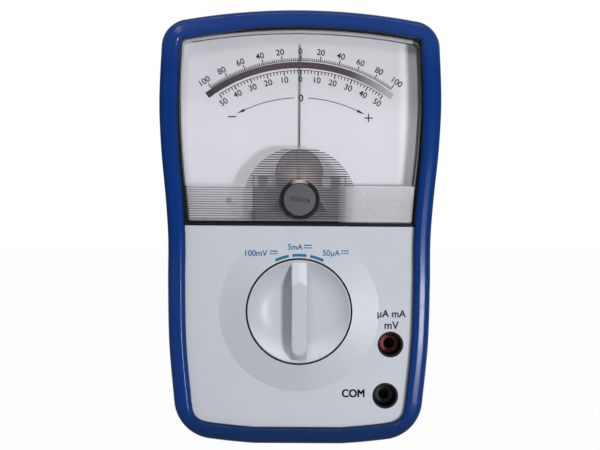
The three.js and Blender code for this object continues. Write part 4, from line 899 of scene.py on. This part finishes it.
def bead_section():
    """The bead's section from the boot's side to its crest, as insets and depths: an arc from upright to
    12 degrees, a flat that leans by 9.5 degrees, and a wide arc from there to level."""
    rise = np.radians(np.linspace(90, 12, 10))
    level = np.radians(np.linspace(9.5, 0, 4))
    roll, flat, flat_lean, wide = 2.35 * mm, 1.6 * mm, math.radians(9.5), 3.4 * mm
    along = np.linspace(0, flat, 5)
    arc = np.stack([roll * (1 - np.sin(rise)), roll * np.cos(rise)], 1)
    facet = arc[-1] + along[1:, None] * [math.cos(flat_lean), math.sin(flat_lean)]
    crest = facet[-1] + wide * np.stack([math.sin(flat_lean) - np.sin(level[1:]),
                                         np.cos(level[1:]) - math.cos(flat_lean)], 1)
    section = np.concatenate([arc, facet, crest])
    section = section / section[-1] * [crest_inset, side_round]
    return section + [0, lip_depth - side_round]


def boot_grid():
    """The boot as rings, from the middle of its bay, over its back and round its side, over the bead and down
    inside to the middle of its floor. A ring is the outline moved in along its normals by an inset, at a
    depth from the back plane. Near the mouth the foot and the four corners are inset a little less than the
    sides: a corner by a share that follows how far its normal leans both ways. Beside the window the sides
    are inset a little more, and so is the slack rubber over its upper left corner. The second result is each
    ring's tuck: how far it turns in under the bead."""
    points, normals = boot_outline()
    turn = np.linspace(0, math.pi / 2, 13)
    depths = np.linspace(back_round, lip_depth - side_round, 12)[1:-1]
    rings = np.concatenate([
        np.stack([back_round * (1 - np.sin(turn)), back_round * (1 - np.cos(turn))], 1),
        np.stack([np.zeros(10), depths], 1),
        bead_section(),
        np.stack([crest_inset + (lip_inset - crest_inset) * np.sin(turn[1:]),
                  lip_depth - 2.1 * mm * (1 - np.cos(turn[1:]))], 1),
        [[lip_inset, lip_depth - lip_thickness], [boot_wall, lip_depth - lip_thickness],
         [boot_wall, boot_floor]],
    ])
    low = np.clip((0.08 - points[:, 1] / boot_height) / 0.05, 0, 1)
    corner = np.clip((np.abs(normals).min(1) - 0.25) / 0.4, 0, 1)
    beside_window = np.clip((points[:, 1] / boot_height - 0.64) / 0.16, 0, 1) * normals[:, 0] ** 2
    slack = np.clip((-points[:, 0] - 15 * mm) / (25 * mm), 0, 1) * np.clip(-normals[:, 1], 0, 1)
    share = (1 + (foot_inset / lip_inset - 1) * low**2 * (3 - 2 * low)) * (
        1 - 0.1 * corner + 0.09 * beside_window) + 0.17 * slack
    grown = np.where(rings[:, 1:] > lip_depth - 3 * mm, share, 1)
    flat = points + normals * (rings[:, :1] * grown)[..., None]
    middle = np.array([0, sum(bay_ends) / 2])
    edge = bay_edge(points)
    spread = np.array([0, 0.02, 0.2, 0.5, 0.8, 0.98])[:, None, None]
    back = edge + (flat[0] - edge) * spread
    bay = np.stack([np.broadcast_to(middle, edge.shape), middle + (edge - middle) * 0.97, edge, edge])
    centre = np.broadcast_to(middle, flat[:1].shape)
    bay_depths = [[bay_depth], [bay_depth], [bay_depth], [0.15 * mm]]
    outward = np.concatenate([bay, back, flat, centre])
    depth = np.concatenate([bay_depths, np.zeros((len(spread), 1)), rings[:, 1:], [[boot_floor]]])
    grid = np.stack([outward[..., 0], np.broadcast_to(back_plane - depth, outward.shape[:2]),
                     outward[..., 1]], -1)
    tucked = np.concatenate([np.clip((np.degrees(turn[1:]) - 52) / 24, 0, 1), np.ones(4)])
    return grid, np.concatenate([np.zeros(len(grid) - len(tucked)), tucked])


boot_rings, boot_tuck = boot_grid()
boot = surface("holster_boot", boot_rings, boot_rubber, 40, tuck=boot_tuck)
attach(boot, "housing")
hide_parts("holster")

# The tilt stand: a tapering flap of black glass-filled nylon with three ribs, which snaps into the holster's
# bay on two short pins.
dress(moulded("stand_nylon", (30, 30, 33), (44, 44, 48), 0.46, grain=1800.0, height=0.03 * mm), "tilt_stand")

# The studio: a white floor in a white room, a soft lamp low to the right of the lens, a weaker one above it
# to the left, a wide strip overhead, and a large faint one at the left.
floor_half = 4.0
floor_mesh = bpy.data.meshes.new("studio_floor")
floor_mesh.from_pydata([(x * floor_half, y * floor_half, 0) for x, y in ((-1, -1), (1, -1), (1, 1), (-1, 1))],
                       [], [[0, 1, 2, 3]])
floor_paint = bpy.data.materials.new("floor_paint")
floor_paint.use_nodes = True
floor_tree = floor_paint.node_tree
shader_of(floor_paint).inputs["Base Color"].default_value = srgb(196, 196, 196)
shader_of(floor_paint).inputs["Roughness"].default_value = 0.9


def seen_directly(tree):
    """One for rays from the lens, from gloss or through glass, and zero for rays that light the object."""
    ways = tree.nodes.new("ShaderNodeLightPath")
    lens_ray, gloss_ray, through_ray = (Measure(tree, ways.outputs[f"Is {kind} Ray"]) for kind in (
        "Camera", "Glossy", "Transmission"))
    return through_ray | (lens_ray | gloss_ray)


def mixed(tree, share, lit, seen, end):
    """Shows one shader for the rays that light the object and another for those that see it."""
    mix = tree.nodes.new("ShaderNodeMixShader")
    share.feed(mix.inputs["Fac"])
    tree.links.new(lit, mix.inputs[1])
    tree.links.new(seen, mix.inputs[2])
    tree.links.new(mix.outputs["Shader"], tree.nodes[end].inputs["Surface"])


floor_white = floor_tree.nodes.new("ShaderNodeEmission")
mixed(floor_tree, seen_directly(floor_tree) * 0.98, shader_of(floor_paint).outputs["BSDF"],
      floor_white.outputs["Emission"], "Material Output")
studio_floor = shown("studio_floor", floor_mesh, floor_paint)
studio_floor.visible_shadow = False

room = bpy.data.worlds.new("studio_room")
room.use_nodes = True
bpy.context.scene.world = room
room_light, room_white = room.node_tree.nodes["Background"], room.node_tree.nodes.new("ShaderNodeBackground")
room_light.inputs["Strength"].default_value = 0.08
room_light.inputs["Color"].default_value = srgb(250, 251, 255)
room_white.inputs["Color"].default_value = (1, 1, 1, 1)
mixed(room.node_tree, seen_directly(room.node_tree), room_light.outputs["Background"],
      room_white.outputs["Background"], "World Output")


def aimed(holder, place, way, turn=0.0):
    """Puts a lamp or a lens at a place, so that it faces a way, and turns it about that way."""
    facing = way.to_track_quat("-Z", "Y").to_matrix().to_4x4()
    holder.matrix_world = Matrix.Translation(place) @ facing @ Matrix.Rotation(turn, 4, "Z")
    bpy.context.scene.collection.objects.link(holder)


def soft_lamp(name, place, aim_height, width, height, power):
    """A rectangular lamp at a place, which faces the object's middle at a height."""
    lamp = bpy.data.lights.new(name, "AREA")
    lamp.shape = "RECTANGLE"
    lamp.size, lamp.size_y, lamp.energy = width, height, power
    aimed(bpy.data.objects.new(name, lamp), place, Vector((0, 0, aim_height)) - Vector(place))


soft_lamp("key_lamp", (0.4, -0.87, 0.0), 0.07, 0.13, 0.1, 5.3)
soft_lamp("upper_lamp", (-0.2, -0.72, 0.46), 0.08, 0.13, 0.13, 0.9)
soft_lamp("top_lamp", (-0.05, -0.36, 0.86), 0.06, 1.0, 0.12, 2.8)
soft_lamp("left_lamp", (-0.9, -0.5, 0.25), 0.08, 0.5, 0.7, 0.12)

# The camera: 0.9 m from the bead's crest and nearly square to the panel, a little to the left and above, on a
# lens of 156 mm for a frame 36 mm wide. It leans a little.
lens_reach = 0.9
lens_pixels, frame_pixels = 2606, 600
look_at = Vector((0.09 * mm, boot_low.y, 75.65 * mm))
swing_left, swing_up, lean = math.radians(-1.3), math.radians(0.4), math.radians(0.42)
toward = Vector((math.sin(swing_left) * math.cos(swing_up), -math.cos(swing_left) * math.cos(swing_up),
                 math.sin(swing_up)))
lens = bpy.data.cameras.new("square_view")
lens.sensor_width = 36
lens.lens = lens.sensor_width * lens_pixels / frame_pixels
camera = bpy.data.objects.new("square_view", lens)
aimed(camera, look_at + toward * lens_reach, -toward, lean)
bpy.context.scene.camera = camera
bpy.context.scene.view_settings.view_transform = "Standard"
